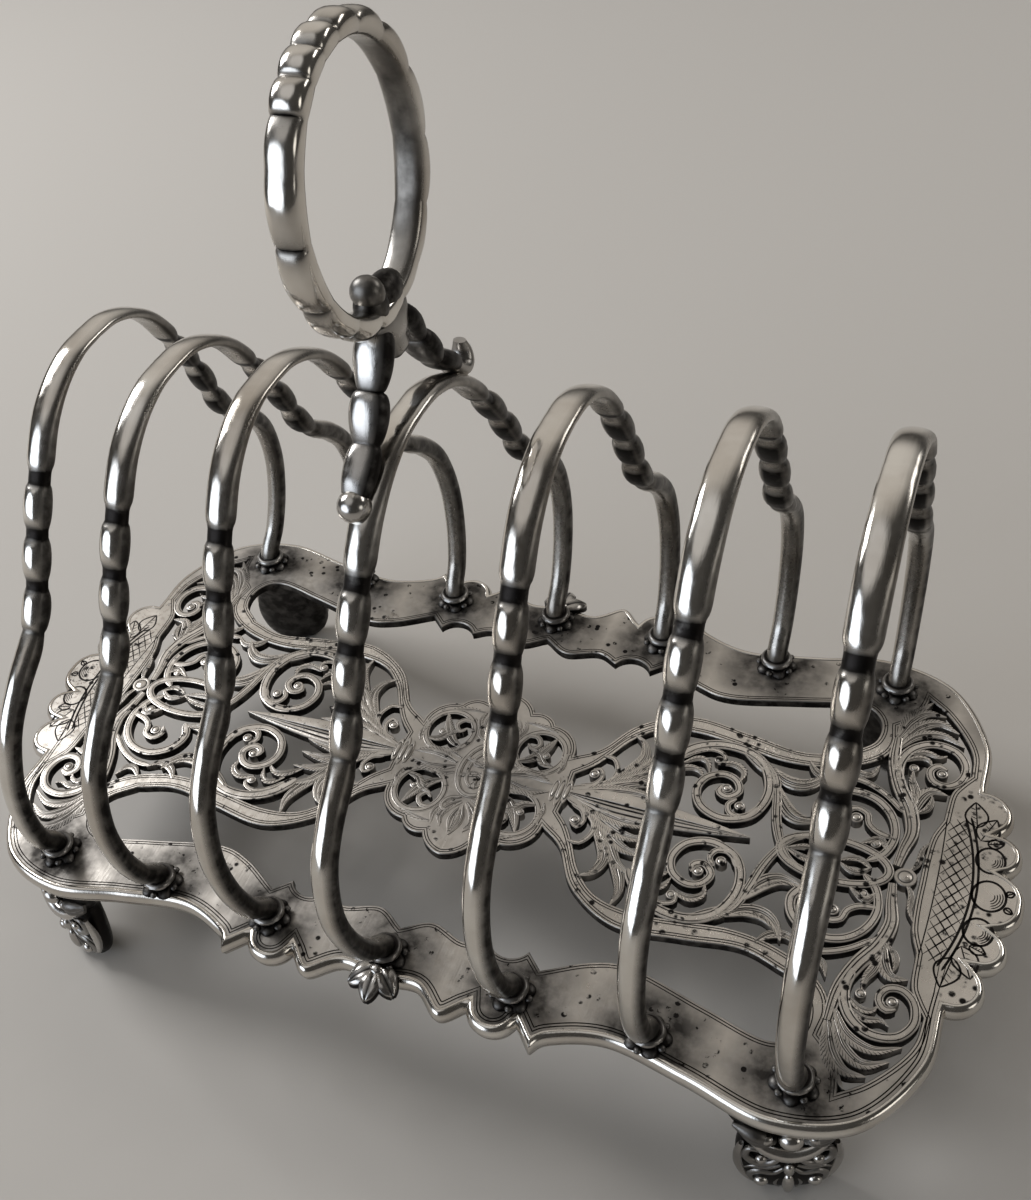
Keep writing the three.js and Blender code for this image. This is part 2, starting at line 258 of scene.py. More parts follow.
class Nodes:
    """Adds nodes to one tree. An input takes a value, or is linked when it is given a socket."""

    def __init__(self, tree):
        self.tree = tree

    def feed(self, socket, value):
        if isinstance(value, bpy.types.NodeSocket):
            self.tree.links.new(value, socket)
        elif socket.type == "RGBA":
            socket.default_value = (*value, 1.0)
        else:
            socket.default_value = value

    def add(self, kind, inputs=None, **settings):
        made = self.tree.nodes.new("ShaderNode" + kind)
        for key, value in settings.items():
            setattr(made, key, value)
        for key, value in (inputs or {}).items():
            self.feed(made.inputs[key], value)
        return made

    def ramp(self, source, low, high, bottom=0.0, top=1.0, **settings):
        inputs = {"Value": source, "From Min": low, "From Max": high, "To Min": bottom, "To Max": top}
        return self.add("MapRange", inputs, **settings).outputs["Result"]

    def maths(self, kind, first, second, clamped=True):
        return self.add("Math", {0: first, 1: second}, operation=kind, use_clamp=clamped).outputs[0]

    def length(self, vector):
        return self.add("VectorMath", {0: vector}, operation="LENGTH").outputs["Value"]

    def mixed(self, share, first, second):
        inputs = {"Factor": share, "A": first, "B": second}
        return self.add("Mix", inputs, data_type="RGBA").outputs["Result"]


# ---- Silver ----
# Scales of the noises, per metre: the larger, the finer.
CLOUD_SCALE = 60.0
DENT_SCALE = 95.0
PIT_ZONE_SCALE = 130.0
GRIME_SCALE = 260.0
MOTTLE_SCALE = 420.0
PIT_SCALE = 620.0
GRAIN_SCALE = 900.0
# Scratches: how fine along each axis, how they are turned, and how deep they and the dents are.
SCRATCH_SCALE = (2600.0, 260.0, 900.0)
SCRATCH_TURN = (0.2, 0.1, 0.5)
SCRATCH_DEPTH = 0.04 * MM
DENT_DEPTH = 1.2 * MM
# Colour of tarnish, and of the painted shade on the bars and husk legs.
TARNISH_AND_SHADE_BLACK = (0.018, 0.016, 0.015)
TARNISH_ROUGHNESS = 0.3
# Where the halo round a collar starts to fade and where it ends, and the same for the centre.
HALO = (0.24 * PITCH, 0.62 * PITCH)
CENTRE_GRIME = (0.4 * PITCH, 1.1 * PITCH)


def silver(name, bright, dull, roughness, pitted=0.0, brushed=0.35, grimy=0.0, hammered=0.25):
    """Silver that blackens where its darkening attribute says (tarnish, and on the bars and husk legs painted
    shade), with clouds, scratches and pits.
    """
    material = bpy.data.materials.new(name)
    material.use_nodes = True
    nodes = Nodes(material.node_tree)
    shader = nodes.tree.nodes["Principled BSDF"]
    shader.inputs["Metallic"].default_value = 1.0
    place = nodes.add("TexCoord").outputs["Object"]

    def noise(scale, detail=4.0, rough=0.55, vector=place):
        inputs = {"Vector": vector, "Scale": scale, "Detail": detail, "Roughness": rough}
        return nodes.add("TexNoise", inputs).outputs["Fac"]

    # The darkening attribute: tarnish, and on the bars and husk legs painted shade too.
    stain = nodes.add("Attribute", attribute_name="tarnish_and_shade").outputs["Fac"]
    dark = nodes.maths("MULTIPLY", stain, nodes.ramp(noise(MOTTLE_SCALE), 0.3, 0.6, 0.92, 1.1))
    if pitted:
        cells = nodes.add("TexVoronoi", {"Vector": place, "Scale": PIT_SCALE}).outputs["Distance"]
        zones = nodes.ramp(noise(PIT_ZONE_SCALE, 6.0, 0.75), 0.49, 0.56)
        spots = nodes.maths("MULTIPLY", nodes.ramp(cells, 0.26, 0.4, 1.0, 0.0), zones)
        dark = nodes.maths("MAXIMUM", dark, nodes.maths("MULTIPLY", spots, pitted))
    if grimy:
        # Polish that was never cleaned off: a dark halo round every collar, and a dark centre.
        split = nodes.add("SeparateXYZ", {"Vector": place}).outputs
        along = nodes.maths("PINGPONG", split["X"], PITCH / 2, False)
        from_middle = nodes.maths("ABSOLUTE", split["Y"], 0.0, False)
        across = nodes.maths("SUBTRACT", from_middle, FOOT_Y * PITCH, False)
        from_collar = nodes.add("CombineXYZ", {"X": along, "Y": across}).outputs["Vector"]
        from_centre = nodes.add("CombineXYZ", {"X": split["X"], "Y": split["Y"]}).outputs["Vector"]
        halo = nodes.ramp(nodes.length(from_collar), *HALO, 1.0, 0.0)
        centre = nodes.ramp(nodes.length(from_centre), *CENTRE_GRIME, 0.62, 0.0)
        worn = nodes.ramp(noise(GRIME_SCALE, 5.0), 0.3, 0.62, 0.55, 1.0)
        grime = nodes.maths("MULTIPLY", nodes.maths("MAXIMUM", halo, centre), worn)
        dark = nodes.maths("MAXIMUM", dark, nodes.maths("MULTIPLY", grime, grimy))
    clean = nodes.mixed(nodes.ramp(noise(CLOUD_SCALE), 0.35, 0.7), bright, dull)
    nodes.feed(shader.inputs["Base Color"], nodes.mixed(dark, clean, TARNISH_AND_SHADE_BLACK))
    grain = nodes.ramp(noise(GRAIN_SCALE, 3.0), 0.3, 0.7, roughness * 0.75, roughness * 1.25)
    dull_where_dark = nodes.ramp(dark, 0.0, 1.0, 0.0, TARNISH_ROUGHNESS)
    nodes.feed(shader.inputs["Roughness"], nodes.maths("ADD", grain, dull_where_dark))
    stretched = nodes.add("Mapping", {"Vector": place, "Rotation": SCRATCH_TURN, "Scale": SCRATCH_SCALE})
    scratches = noise(1.0, 2.0, 0.5, stretched.outputs["Vector"])
    dents = {"Strength": hammered, "Distance": DENT_DEPTH, "Height": noise(DENT_SCALE, 2.0)}
    dented = nodes.add("Bump", dents).outputs["Normal"]
    hairs = {"Strength": brushed, "Distance": SCRATCH_DEPTH, "Height": scratches, "Normal": dented}
    nodes.feed(shader.inputs["Normal"], nodes.add("Bump", hairs).outputs["Normal"])
    return material


SHEET = silver(
    "sheet_silver", (0.70, 0.655, 0.60), (0.46, 0.43, 0.39), 0.3, pitted=1.0, brushed=0.6, grimy=0.95,
)
POLISHED = silver(
    "polished_silver", (0.78, 0.75, 0.70), (0.50, 0.455, 0.40), 0.14, brushed=0.3, hammered=0.1,
)
CAST = silver("cast_silver", (0.60, 0.58, 0.55), (0.34, 0.32, 0.30), 0.2)

# ---- Outlines of the plate, in pitches; runs meet at corners ----
# A quarter of the outside, from the middle of a long side to the middle of an end.
OUTER_RUNS = [
    [(0, 2.03), (0.3, 1.98), (0.54, 2.14), (0.72, 2.0)],
    [(0.72, 2.0), (0.92, 2.14), (1.1, 2.0)],
    [(1.1, 2.0), (1.25, 2.16)],
    [(1.25, 2.16), (1.36, 2.04), (1.75, 1.93), (2.3, 2.02), (2.9, 2.14), (3.45, 1.96), (3.78, 1.45),
     (3.82, 0.97)],
    [(3.82, 0.97), (4.03, 0.83), (3.96, 0.59)],
    [(3.96, 0.59), (4.14, 0.44), (4.04, 0.25)],
    [(4.04, 0.25), (4.16, 0.16), (4.2, 0)],
]
# Half of one opening, from the long side round to the cartouche.
OPENING_RUNS = [
    [(0, 1.57), (0.22, 1.45), (0.5, 1.53), (0.68, 1.45)],
    [(0.68, 1.45), (0.83, 1.55), (0.99, 1.45)],
    [(0.99, 1.45), (1.12, 1.57)],
    [(1.12, 1.57), (1.45, 1.39), (1.75, 1.34), (2.3, 1.47), (2.75, 1.57), (2.94, 1.45), (2.94, 1.22),
     (2.75, 1.04)],
    [(2.75, 1.04), (2.42, 0.95), (2.0, 1.01), (1.5, 1.06), (1.1, 0.85), (0.88, 0.52), (0.69, 0.38)],
    [(0.69, 0.38), (0.63, 0.54), (0.43, 0.64)],
    [(0.43, 0.64), (0.34, 0.72), (0.21, 0.72)],
    [(0.21, 0.72), (0.15, 0.8), (0, 0.87)],
]
# Half of the pierced field inside a lobe, from the knot round to the basket.
# It holds the foliage, and the sheet is left out there.
FIELD_RUNS = [
    [(0.77, 0), (0.76, 0.2)],
    [(0.76, 0.2), (0.87, 0.31), (0.97, 0.46), (1.1, 0.68), (1.3, 0.85), (1.6, 0.9), (1.95, 0.86),
     (2.3, 0.81), (2.6, 0.84), (2.87, 0.94), (3.04, 1.08), (3.1, 1.24), (3.08, 1.42)],
    [(3.08, 1.42), (3.2, 1.56), (3.27, 1.78)],
    [(3.27, 1.78), (3.42, 1.66), (3.58, 1.46), (3.67, 1.28), (3.69, 1.08)],
    [(3.69, 1.08), (3.62, 0.97), (3.57, 0.85), (3.56, 0.6)],
    [(3.56, 0.6), (3.5, 0.42), (3.485, 0.2), (3.485, 0)],
]
# Middle and half sizes of a round piercing of the cartouche.
MEDALLION = (0.41, 0.32)
MEDALLION_SIZE = (0.19, 0.2)
STEP = 0.025


def plate_loops():
    outer = around_both_axes(OUTER_RUNS, STEP)
    openings = [doubled(OPENING_RUNS, STEP, (-1, 1), (1, side)) for side in (1, -1)]
    fields = [doubled(FIELD_RUNS, STEP, (1, -1), (side, 1)) for side in (1, -1)]
    rounds = [
        ellipse(np.multiply(MEDALLION, mirror), MEDALLION_SIZE, full_turn(48))[::-1]
        for mirror in ALL_QUARTERS
    ]
    return outer, openings, fields, rounds


def raised(points, height):
    """Plan points, in pitches, at a height in metres."""
    return np.column_stack([np.asarray(points) * PITCH, np.full(len(points), height)])


# ---- Foliage cut from the sheet: ribbons with grooves, on slightly different levels ----
# Across a ribbon: share of the half width, drop below the top in mm, tarnish.
SCROLL_SECTION = [
    (-1.0, 0.3, 1.0), (-0.9, 0.05, 0.2), (-0.64, 0.0, 0.1), (-0.6, 0.1, 1.0), (-0.46, 0.1, 1.0),
    (-0.42, 0.0, 0.1), (0.0, -0.03, 0.0), (0.42, 0.0, 0.1), (0.46, 0.1, 1.0), (0.58, 0.1, 1.0),
    (0.62, 0.0, 0.1), (0.9, 0.05, 0.2), (1.0, 0.3, 1.0),
]
LEAF_SECTION = [
    (-1.0, 0.35, 1.0), (-0.86, 0.08, 0.1), (-0.72, 0.04, 0.1), (-0.68, 0.1, 1.0), (-0.58, 0.1, 1.0),
    (-0.54, 0.02, 0.1), (-0.36, 0.0, 0.1), (-0.32, 0.08, 1.0), (-0.22, 0.08, 1.0), (-0.18, 0.0, 0.1),
    (-0.08, 0.04, 0.2), (-0.04, 0.14, 1.0), (0.06, 0.14, 1.0), (0.1, 0.02, 0.1), (0.5, -0.03, 0.0),
    (0.88, 0.04, 0.1), (1.0, 0.35, 1.0),
]
STEM_SECTION = [
    (-1.0, 0.3, 1.0), (-0.88, 0.05, 0.1), (-0.68, 0.0, 0.1), (-0.64, 0.08, 1.0), (-0.54, 0.08, 1.0),
    (-0.5, 0.0, 0.1), (-0.26, -0.02, 0.1), (-0.2, 0.06, 1.0), (-0.12, 0.06, 1.0), (-0.06, -0.02, 0.1),
    (0.45, -0.02, 0.0), (0.5, 0.09, 1.0), (0.64, 0.09, 1.0), (0.7, 0.0, 0.1), (0.9, 0.05, 0.1),
    (1.0, 0.3, 1.0),
]
# Engraved hatching on a leaf: spacing of the lines in pitches, half width of a line, and slant as
# a share of the leaf's half width.
HATCH_SPACING = 0.026
HATCH_HALF_WIDTH = 0.045 * MM
HATCH_SLANT = 5 / 6
# Each level of the foliage lies this much over the one below.
LEVEL = 0.035 * MM
SHEET_STEP = 0.03
# Mirrored copies lie this much lower one after another, so that none coincide where they overlap.
COPY_DROP = 0.012 * MM
# A ribbon narrower than this half width has shallower grooves.
FULL_DEPTH_WIDTH = 1.0 * MM
UNDERSIDE_TARNISH = 0.95


def swell(count, start, full, end, peak=0.4):
    """Half widths that grow from start to full and shrink to end."""
    t = np.linspace(0, 1, count)
    rise = start + (full - start) * np.sin(np.clip(t / peak, 0, 1) * math.pi / 2)
    fall = end + (full - end) * np.cos(np.clip((t - peak) / (1 - peak), 0, 1) * math.pi / 2)
    return np.where(t < peak, rise, fall)


def ribbon(form, spine, half_width, section, level, copies=ALL_QUARTERS, loop=False, fade=0.0):
    """A flat solid along a spine in the plan, as thick as the sheet, with its section on top."""
    spine = np.asarray(spine, float)
    _, across = directions(spine, loop)
    share, drop, stain = np.array(section).T
    width = np.broadcast_to(half_width, (len(spine),))
    depth = np.minimum(1.0, width * PITCH / FULL_DEPTH_WIDTH)
    plan = spine[:, None, :] + across[:, None, :] * (width[:, None, None] * share[None, :, None])
    end_fade = 1 - fade * np.linspace(0, 1, len(spine)) ** 2
    stains = np.broadcast_to(stain[None, :] * end_fade[:, None], plan.shape[:2])
    stains = np.concatenate([stains, np.full((len(spine), 2), UNDERSIDE_TARNISH)], axis=1)
    for rank, (sx, sy) in enumerate(copies):
        top = PLATE_TOP + level * LEVEL - rank * COPY_DROP
        heights = top - drop[None, :] * MM * (depth * end_fade)[:, None]
        skin = np.dstack([plan[..., 0] * PITCH * sx, plan[..., 1] * PITCH * sy, heights])
        floor = skin[:, [-1, 0]].copy()
        floor[..., 2] = PLATE_BOTTOM + (0.05 + 0.01 * rank) * MM - level * 0.004 * MM
        form.loft(np.concatenate([skin, floor], axis=1), stains, loop)


def scroll(form, points, half_width, end, level):
    """A grooved ribbon that narrows to a share of its width at its end, with blunt tips."""
    spine = smooth(points, SHEET_STEP)
    width = np.linspace(half_width, half_width * end, len(spine))
    width[:2] *= (0.35, 0.8)
    width[-2:] *= (0.8, 0.35)
    ribbon(form, spine, width, SCROLL_SECTION, level)


def leaf(form, points, half_width, level):
    """A pointed ribbon with three grooves on one side and hatching on the other."""
    spine = smooth(points, SHEET_STEP)
    width = swell(len(spine), half_width * 0.35, half_width, half_width * 0.08, 0.45)
    ribbon(form, spine, width, LEAF_SECTION, level, fade=0.6)
    hatch(form, spine, width, level)


def stem(form, points, half_width, level):
    spine = smooth(points, SHEET_STEP)
    width = swell(len(spine), half_width * 0.6, half_width, half_width * 0.5, 0.5)
    ribbon(form, spine, width, STEM_SECTION, level, fade=0.3)


def hatch(form, spine, width, level):
    """Fine slanting lines on the smooth side of a leaf."""
    along, across = directions(spine)
    count = int(distances(spine)[-1] * 0.75 / HATCH_SPACING)
    for place in np.linspace(0.16, 0.86, max(count, 2)):
        at = place * (len(spine) - 1)
        here, part = int(at), at - int(at)
        centre = spine[here] * (1 - part) + spine[here + 1] * part
        reach = width[here]
        near = centre + across[here] * reach * 0.3
        far = centre + across[here] * reach * 0.86 + along[here] * HATCH_SLANT * reach
        side = unit(far - near)
        wide = np.array([-side[1], side[0]]) * HATCH_HALF_WIDTH / PITCH
        # Where along the line, share of its width, and rise above the leaf in mm.
        stations = ((near, 0.4, 0.05), (centre + (far - centre) * 0.8, 1.0, 0.045), (far, 0.3, -0.02))
        for rank, mirror in enumerate(ALL_QUARTERS):
            top = PLATE_TOP + level * LEVEL - rank * COPY_DROP
            rings = []
            for spot, share, rise in stations:
                edges = np.array([spot - wide * share, spot + wide * share]) * mirror
                buried = raised(edges[::-1], top - 0.15 * MM)
                rings.append(np.vstack([raised(edges, top + rise * MM), buried]))
            form.loft(rings, 1.0)


# Rows of a bud from its rim to its crown: share of the radius, drop in mm, tarnish.
BUD_ROWS = [
    (1.0, 0.35, 0.6), (0.92, 0.1, 0.2), (0.72, 0.05, 0.1), (0.6, 0.12, 1.0), (0.48, 0.0, 0.1),
    (0.2, -0.06, 0.0),
]


def bud(form, centre, radius, level, copies=ALL_QUARTERS, stretch=1.0):
    """A small domed disc with one groove round it, stretched along Y."""
    turn = full_turn(20)
    for rank, mirror in enumerate(copies):
        top = PLATE_TOP + level * LEVEL - rank * COPY_DROP
        foot = (1.0, (top - PLATE_BOTTOM) / MM - 0.06, 0.5)
        rings = []
        stains = []
        for share, drop, stain in [foot] + BUD_ROWS:
            plan = ellipse(centre, (radius * share, radius * share * stretch), turn)
            rings.append(raised(plan * mirror, top - drop * MM))
            stains.append(np.full(len(turn), stain))
        form.loft(rings, stains)


# Across an engraved line: share of the half width, height over the sheet in mm.
CUT_SECTION = [(-1, -0.15), (-0.7, 0.02), (0.7, 0.02), (1, -0.15)]
CUT_TIP = 0.3


def cut(form, points, half_width, loop=False, copies=((1, 1),)):
    """An engraved line: a dark thread that fills its cut and lies level with the sheet."""
    line = np.asarray(points, float)
    _, across = directions(line, loop)
    width = np.full((len(line), 1), half_width * MM / PITCH)
    if not loop:
        width[[0, -1]] *= CUT_TIP
    for mirror in copies:
        sides = [
            raised((line + across * width * share) * mirror, PLATE_TOP + height * MM)
            for share, height in CUT_SECTION
        ]
        form.loft(np.stack(sides, axis=1), 1.0, loop)


# The sheet stops short of the outline, where the moulding takes over; its edges are bevelled.
SHEET_INSET = 0.5 * MM
BEVEL_WIDTH = 0.16 * MM
BEVEL_DEPTH = 0.22 * MM


def sheet_body(form, outer, holes):
    """The solid sheet between its outline and its openings, with a small bevel on every top edge."""
    loops = [inset(outer, SHEET_INSET / PITCH)] + holes
    top = [raised(inset(loop, BEVEL_WIDTH / PITCH), PLATE_TOP) for loop in loops]
    shoulder = [raised(loop, PLATE_TOP - BEVEL_DEPTH) for loop in loops]
    bottom = [raised(loop, PLATE_BOTTOM + 0.01 * MM) for loop in loops]
    counts = [len(loop) for loop in loops]
    total = sum(counts)
    faces = []
    for skin, first in ((top, 0), (bottom, 2 * total)):
        flat = tessellate_polygon([[Vector(p) for p in loop] for loop in skin])
        faces += [tuple(corner + first for corner in face) for face in flat]
    first = 0
    for count in counts:
        ring = first + np.arange(count)
        after = first + (np.arange(count) + 1) % count
        for row in (0, total):
            corners = [ring + row, after + row, after + row + total, ring + row + total]
            faces += np.stack(corners, axis=1).tolist()
        first += count
    form.add(np.vstack(top + shoulder + bottom), faces, np.repeat([0.0, 0.9, UNDERSIDE_TARNISH], total))


# The foliage, in pitches, drawn for one quarter and mirrored: what draws each solid, then its
# points or centre, half width or radius, and level. A scroll has the share it narrows to before
# its level. A solid of a higher level lies over the ones that it crosses.
SPEAR = smooth([(0.78, 0), (1.5, 0), (2.24, 0)], SHEET_STEP)
# The bands of the knot at the spear's root: where on the axis, length over width.
KNOT = [(0.655, 13 / 3), (0.705, 16 / 3), (0.76, 13 / 3)]
LOBE_FOLIAGE = [
    # The long spear leaf on the axis, the knot at its root and the acanthus fan beside it.
    (ribbon, SPEAR, swell(len(SPEAR), 0.03, 0.13, 0.006, 0.3), LEAF_SECTION, 7, BOTH_ENDS, False, 0.3),
    (leaf, [(0.8, 0.03), (1.05, 0.11), (1.3, 0.15), (1.56, 0.12)], 0.06, 6),
    (leaf, [(0.86, 0.06), (1.12, 0.19), (1.32, 0.27), (1.55, 0.26)], 0.065, 5),
    (leaf, [(0.94, 0.1), (1.16, 0.26), (1.34, 0.38), (1.55, 0.42)], 0.06, 4),
    (leaf, [(1.0, 0.14), (1.2, 0.34), (1.34, 0.52), (1.5, 0.6)], 0.065, 3),
    (leaf, [(1.02, 0.16), (1.17, 0.36), (1.24, 0.52), (1.2, 0.66), (1.1, 0.73)], 0.055, 4),
    (leaf, [(1.24, 0.42), (1.38, 0.6), (1.44, 0.75), (1.42, 0.9)], 0.05, 2),
    (leaf, [(1.46, 0.43), (1.58, 0.52), (1.68, 0.53), (1.76, 0.46)], 0.035, 2),
    *((bud, (x, 0), 0.03, 8, BOTH_ENDS, stretch) for x, stretch in KNOT),
    (scroll, [(0.78, 0.05), (0.92, 0.1), (1.04, 0.18), (1.08, 0.31), (1.02, 0.43), (0.92, 0.44)], 0.032,
     0.6, 5),
    (scroll, [(0.84, 0.1), (0.93, 0.13), (0.98, 0.22), (0.95, 0.3), (0.89, 0.28)], 0.026, 0.6, 4),
    (bud, (0.91, 0.24), 0.045, 6),
    # The big spiral scroll, its branch and the smaller one above it.
    (scroll, [(1.45, 0.55), (1.6, 0.74), (1.8, 0.83), (2.02, 0.82), (2.19, 0.7), (2.27, 0.46),
     (2.2, 0.22), (2.0, 0.12), (1.81, 0.18), (1.73, 0.33), (1.77, 0.47), (1.89, 0.54), (2.0, 0.51),
     (2.05, 0.41), (1.98, 0.33), (1.9, 0.36), (1.91, 0.43)], 0.052, 0.6, 6),
    (bud, (1.95, 0.41), 0.045, 7),
    (scroll, [(2.23, 0.3), (2.15, 0.18), (2.04, 0.18), (2.0, 0.26), (2.05, 0.33)], 0.036, 0.6, 5),
    (bud, (2.09, 0.27), 0.045, 7),
    (scroll, [(1.52, 0.6), (1.62, 0.7), (1.74, 0.76), (1.85, 0.73), (1.86, 0.65)], 0.028, 0.6, 4),
    (bud, (1.82, 0.67), 0.04, 7),
    (leaf, [(1.82, 0.63), (1.95, 0.66), (2.04, 0.6), (2.03, 0.5)], 0.035, 5),
    (leaf, [(1.56, 0.56), (1.66, 0.64), (1.74, 0.62), (1.78, 0.52)], 0.03, 5),
    # The vine from the border, its hatched leaves and the loop that it makes with its mirror image.
    (leaf, [(1.96, 0.84), (2.12, 0.75), (2.24, 0.66), (2.32, 0.52)], 0.06, 4),
    (leaf, [(2.22, 0.72), (2.36, 0.63), (2.5, 0.62), (2.6, 0.69), (2.66, 0.8)], 0.065, 3),
    (leaf, [(2.5, 0.86), (2.58, 0.77), (2.7, 0.74), (2.8, 0.82)], 0.04, 2),
    (stem, [(2.2, 0.74), (2.29, 0.62), (2.34, 0.44), (2.39, 0.22), (2.46, 0.04), (2.54, -0.08),
     (2.66, -0.16)], 0.04, 5),
    (leaf, [(2.32, 0.54), (2.42, 0.37), (2.54, 0.29), (2.72, 0.31)], 0.07, 4),
    (ribbon, ellipse((2.87, 0), (0.4, 0.19), full_turn(72)), 0.036, SCROLL_SECTION, 6, BOTH_ENDS, True),
    (leaf, [(2.52, 0.0), (2.66, 0.05), (2.8, 0.04), (2.92, 0.0)], 0.035, 3),
    (leaf, [(3.14, 0.0), (3.06, 0.06), (2.98, 0.05), (2.9, 0.0)], 0.03, 3),
    # The round scroll beside the loop.
    (scroll, [(2.72, 0.29), (2.65, 0.42), (2.7, 0.57), (2.86, 0.67), (3.05, 0.65), (3.19, 0.53),
     (3.25, 0.35), (3.21, 0.17), (3.1, 0.06)], 0.042, 0.8, 5),
    (scroll, [(3.24, 0.32), (3.13, 0.34), (3.05, 0.4), (3.02, 0.49), (2.93, 0.52), (2.87, 0.45),
     (2.9, 0.38)], 0.03, 0.8, 4),
    (bud, (2.95, 0.43), 0.05, 6),
    (bud, (3.13, 0.23), 0.04, 6),
    (leaf, [(3.22, 0.2), (3.16, 0.28), (3.08, 0.24), (3.02, 0.2)], 0.035, 5),
    (scroll, [(2.78, 0.8), (2.95, 0.79), (3.12, 0.71), (3.27, 0.58)], 0.03, 0.8, 3),
    (leaf, [(2.82, 0.93), (2.9, 0.86), (2.98, 0.88), (3.02, 0.98)], 0.035, 2),
    # The bold stem up to the corner, the corner spiral and its acanthus.
    (stem, [(3.1, 1.3), (3.12, 1.05), (3.2, 0.82), (3.31, 0.62), (3.36, 0.42), (3.33, 0.24),
     (3.31, 0.08)], 0.062, 6),
    (leaf, [(3.33, 0.56), (3.36, 0.74), (3.43, 0.84), (3.55, 0.83)], 0.055, 5),
    (leaf, [(3.33, 0.66), (3.32, 0.8), (3.28, 0.9), (3.27, 1.0)], 0.04, 5),
    (leaf, [(3.37, 0.6), (3.43, 0.66), (3.45, 0.74), (3.44, 0.8)], 0.03, 4),
    (scroll, [(3.18, 0.86), (3.16, 1.05), (3.23, 1.22), (3.38, 1.31), (3.55, 1.28), (3.64, 1.15),
     (3.62, 1.0), (3.53, 0.92), (3.43, 0.94), (3.39, 1.03), (3.44, 1.1), (3.51, 1.08)], 0.046, 0.65, 6),
    (bud, (3.48, 1.03), 0.045, 7),
    (leaf, [(3.13, 1.2), (3.24, 1.36), (3.42, 1.42), (3.6, 1.34)], 0.045, 5),
    (leaf, [(3.14, 1.28), (3.24, 1.46), (3.38, 1.54), (3.54, 1.47)], 0.05, 4),
    (leaf, [(3.1, 1.3), (3.16, 1.5), (3.27, 1.62), (3.42, 1.62)], 0.055, 3),
    (leaf, [(3.1, 1.34), (3.13, 1.5), (3.2, 1.62), (3.3, 1.75)], 0.045, 2),
    (leaf, [(3.2, 1.08), (3.28, 1.14), (3.36, 1.14), (3.4, 1.08)], 0.028, 4),
    (leaf, [(3.22, 1.16), (3.33, 1.21), (3.43, 1.19), (3.49, 1.22)], 0.03, 4),
    (bud, (3.27, 1.03), 0.04, 5),
    # The round boss that ties the field to the basket.
    (bud, (3.385, 0), 0.085, 8, BOTH_ENDS),
    (bud, (3.385, 0), 0.035, 10, BOTH_ENDS),
    (leaf, [(3.4, 0.05), (3.45, 0.14), (3.46, 0.27), (3.5, 0.36)], 0.025, 4),
]
# Rings round the four medallions, the middle shield and the leaves between them.
MEDALLION_RING = (MEDALLION_SIZE[0] + 0.02, MEDALLION_SIZE[1] + 0.02)
# Where each small leaf on the shield ends, and how far it bends.
SHIELD_LEAVES = [(0.05, 0.08, 0.03), (0.02, 0.2, -0.02), (0.12, 0.14, 0.03)]
CARTOUCHE_FOLIAGE = [
    (ribbon, ellipse(MEDALLION, MEDALLION_RING, full_turn(48)), 0.03, SCROLL_SECTION, 3, ALL_QUARTERS,
     True),
    (leaf, [(0.26, 0.18), (0.36, 0.24), (0.44, 0.36), (0.5, 0.5)], 0.05, 4),
    (leaf, [(0.56, 0.2), (0.47, 0.22), (0.4, 0.3), (0.3, 0.34)], 0.04, 5),
    (scroll, [(0.24, 0.46), (0.33, 0.47), (0.38, 0.4), (0.33, 0.34), (0.28, 0.38)], 0.026, 0.8, 4),
    (bud, (0.47, 0.3), 0.035, 6),
    (ribbon, ellipse((0, 0), (0.17, 0.27), full_turn(56)), 0.026, SCROLL_SECTION, 5, [(1, 1)], True),
    (ribbon, ellipse((0, 0), (0.1, 0.18), full_turn(40)), 0.016, SCROLL_SECTION, 4, [(1, 1)], True),
    *((leaf, [(0, y * 0.4), (x + bend, y * 0.7), (x, y)], 0.022, 6) for x, y, bend in SHIELD_LEAVES),
    (leaf, [(0.02, 0.34), (0.1, 0.42), (0.14, 0.52), (0.1, 0.62)], 0.04, 4),
    (leaf, [(0.0, 0.38), (0.03, 0.52), (0.0, 0.68)], 0.04, 5),
    (leaf, [(0.12, 0.34), (0.2, 0.5), (0.18, 0.62)], 0.03, 3),
    (scroll, [(0.04, 0.3), (0.14, 0.34), (0.17, 0.42), (0.12, 0.46), (0.08, 0.42)], 0.022, 0.7, 5),
    (leaf, [(0.22, 0.02), (0.32, 0.06), (0.45, 0.08), (0.62, 0.04)], 0.045, 4),
    (leaf, [(0.2, 0.08), (0.3, 0.12), (0.42, 0.11), (0.56, 0.13)], 0.03, 3),
    (leaf, [(0.62, 0.16), (0.64, 0.24), (0.62, 0.34), (0.66, 0.38)], 0.03, 3),
    (leaf, [(0.2, 0.6), (0.3, 0.6), (0.4, 0.58), (0.5, 0.54)], 0.028, 3),
]
# The basket at each end: half its height, its inner edge and the lattice in it, in pitches.
BASKET_HALF_HEIGHT = 0.66
BASKET_START = 3.6
LATTICE_GAP = 0.1
LATTICE_SLOPE = 1.3
# Fruit on the basket's edge: centre and radius. Leaves: root, direction and length.
FRUIT = [((3.96, 0.02), 0.115), ((3.93, 0.33), 0.1), ((3.93, -0.3), 0.1)]
SPRAYS = [
    ((3.84, 0.49), 1.2, 0.24), ((3.8, 0.6), 1.75, 0.24), ((3.89, 0.47), 0.3, 0.12),
    ((4.07, 0.06), 0.6, 0.07), ((4.07, -0.05), -0.5, 0.07), ((3.84, -0.45), -1.2, 0.26),
    ((3.8, -0.56), -1.75, 0.26), ((3.89, -0.43), -0.3, 0.12),
]
# The edges and the midrib of a leaf in a spray: sideways bulge over length, half width in mm.
SPRAY_LINES = [(-0.34, 0.22), (0.0, 0.15), (0.34, 0.22)]
VEIN_COUNT = 4


def basket_edge(y):
    """Right-hand edge of the basket at this y."""
    return 3.84 - 0.3 * y * y


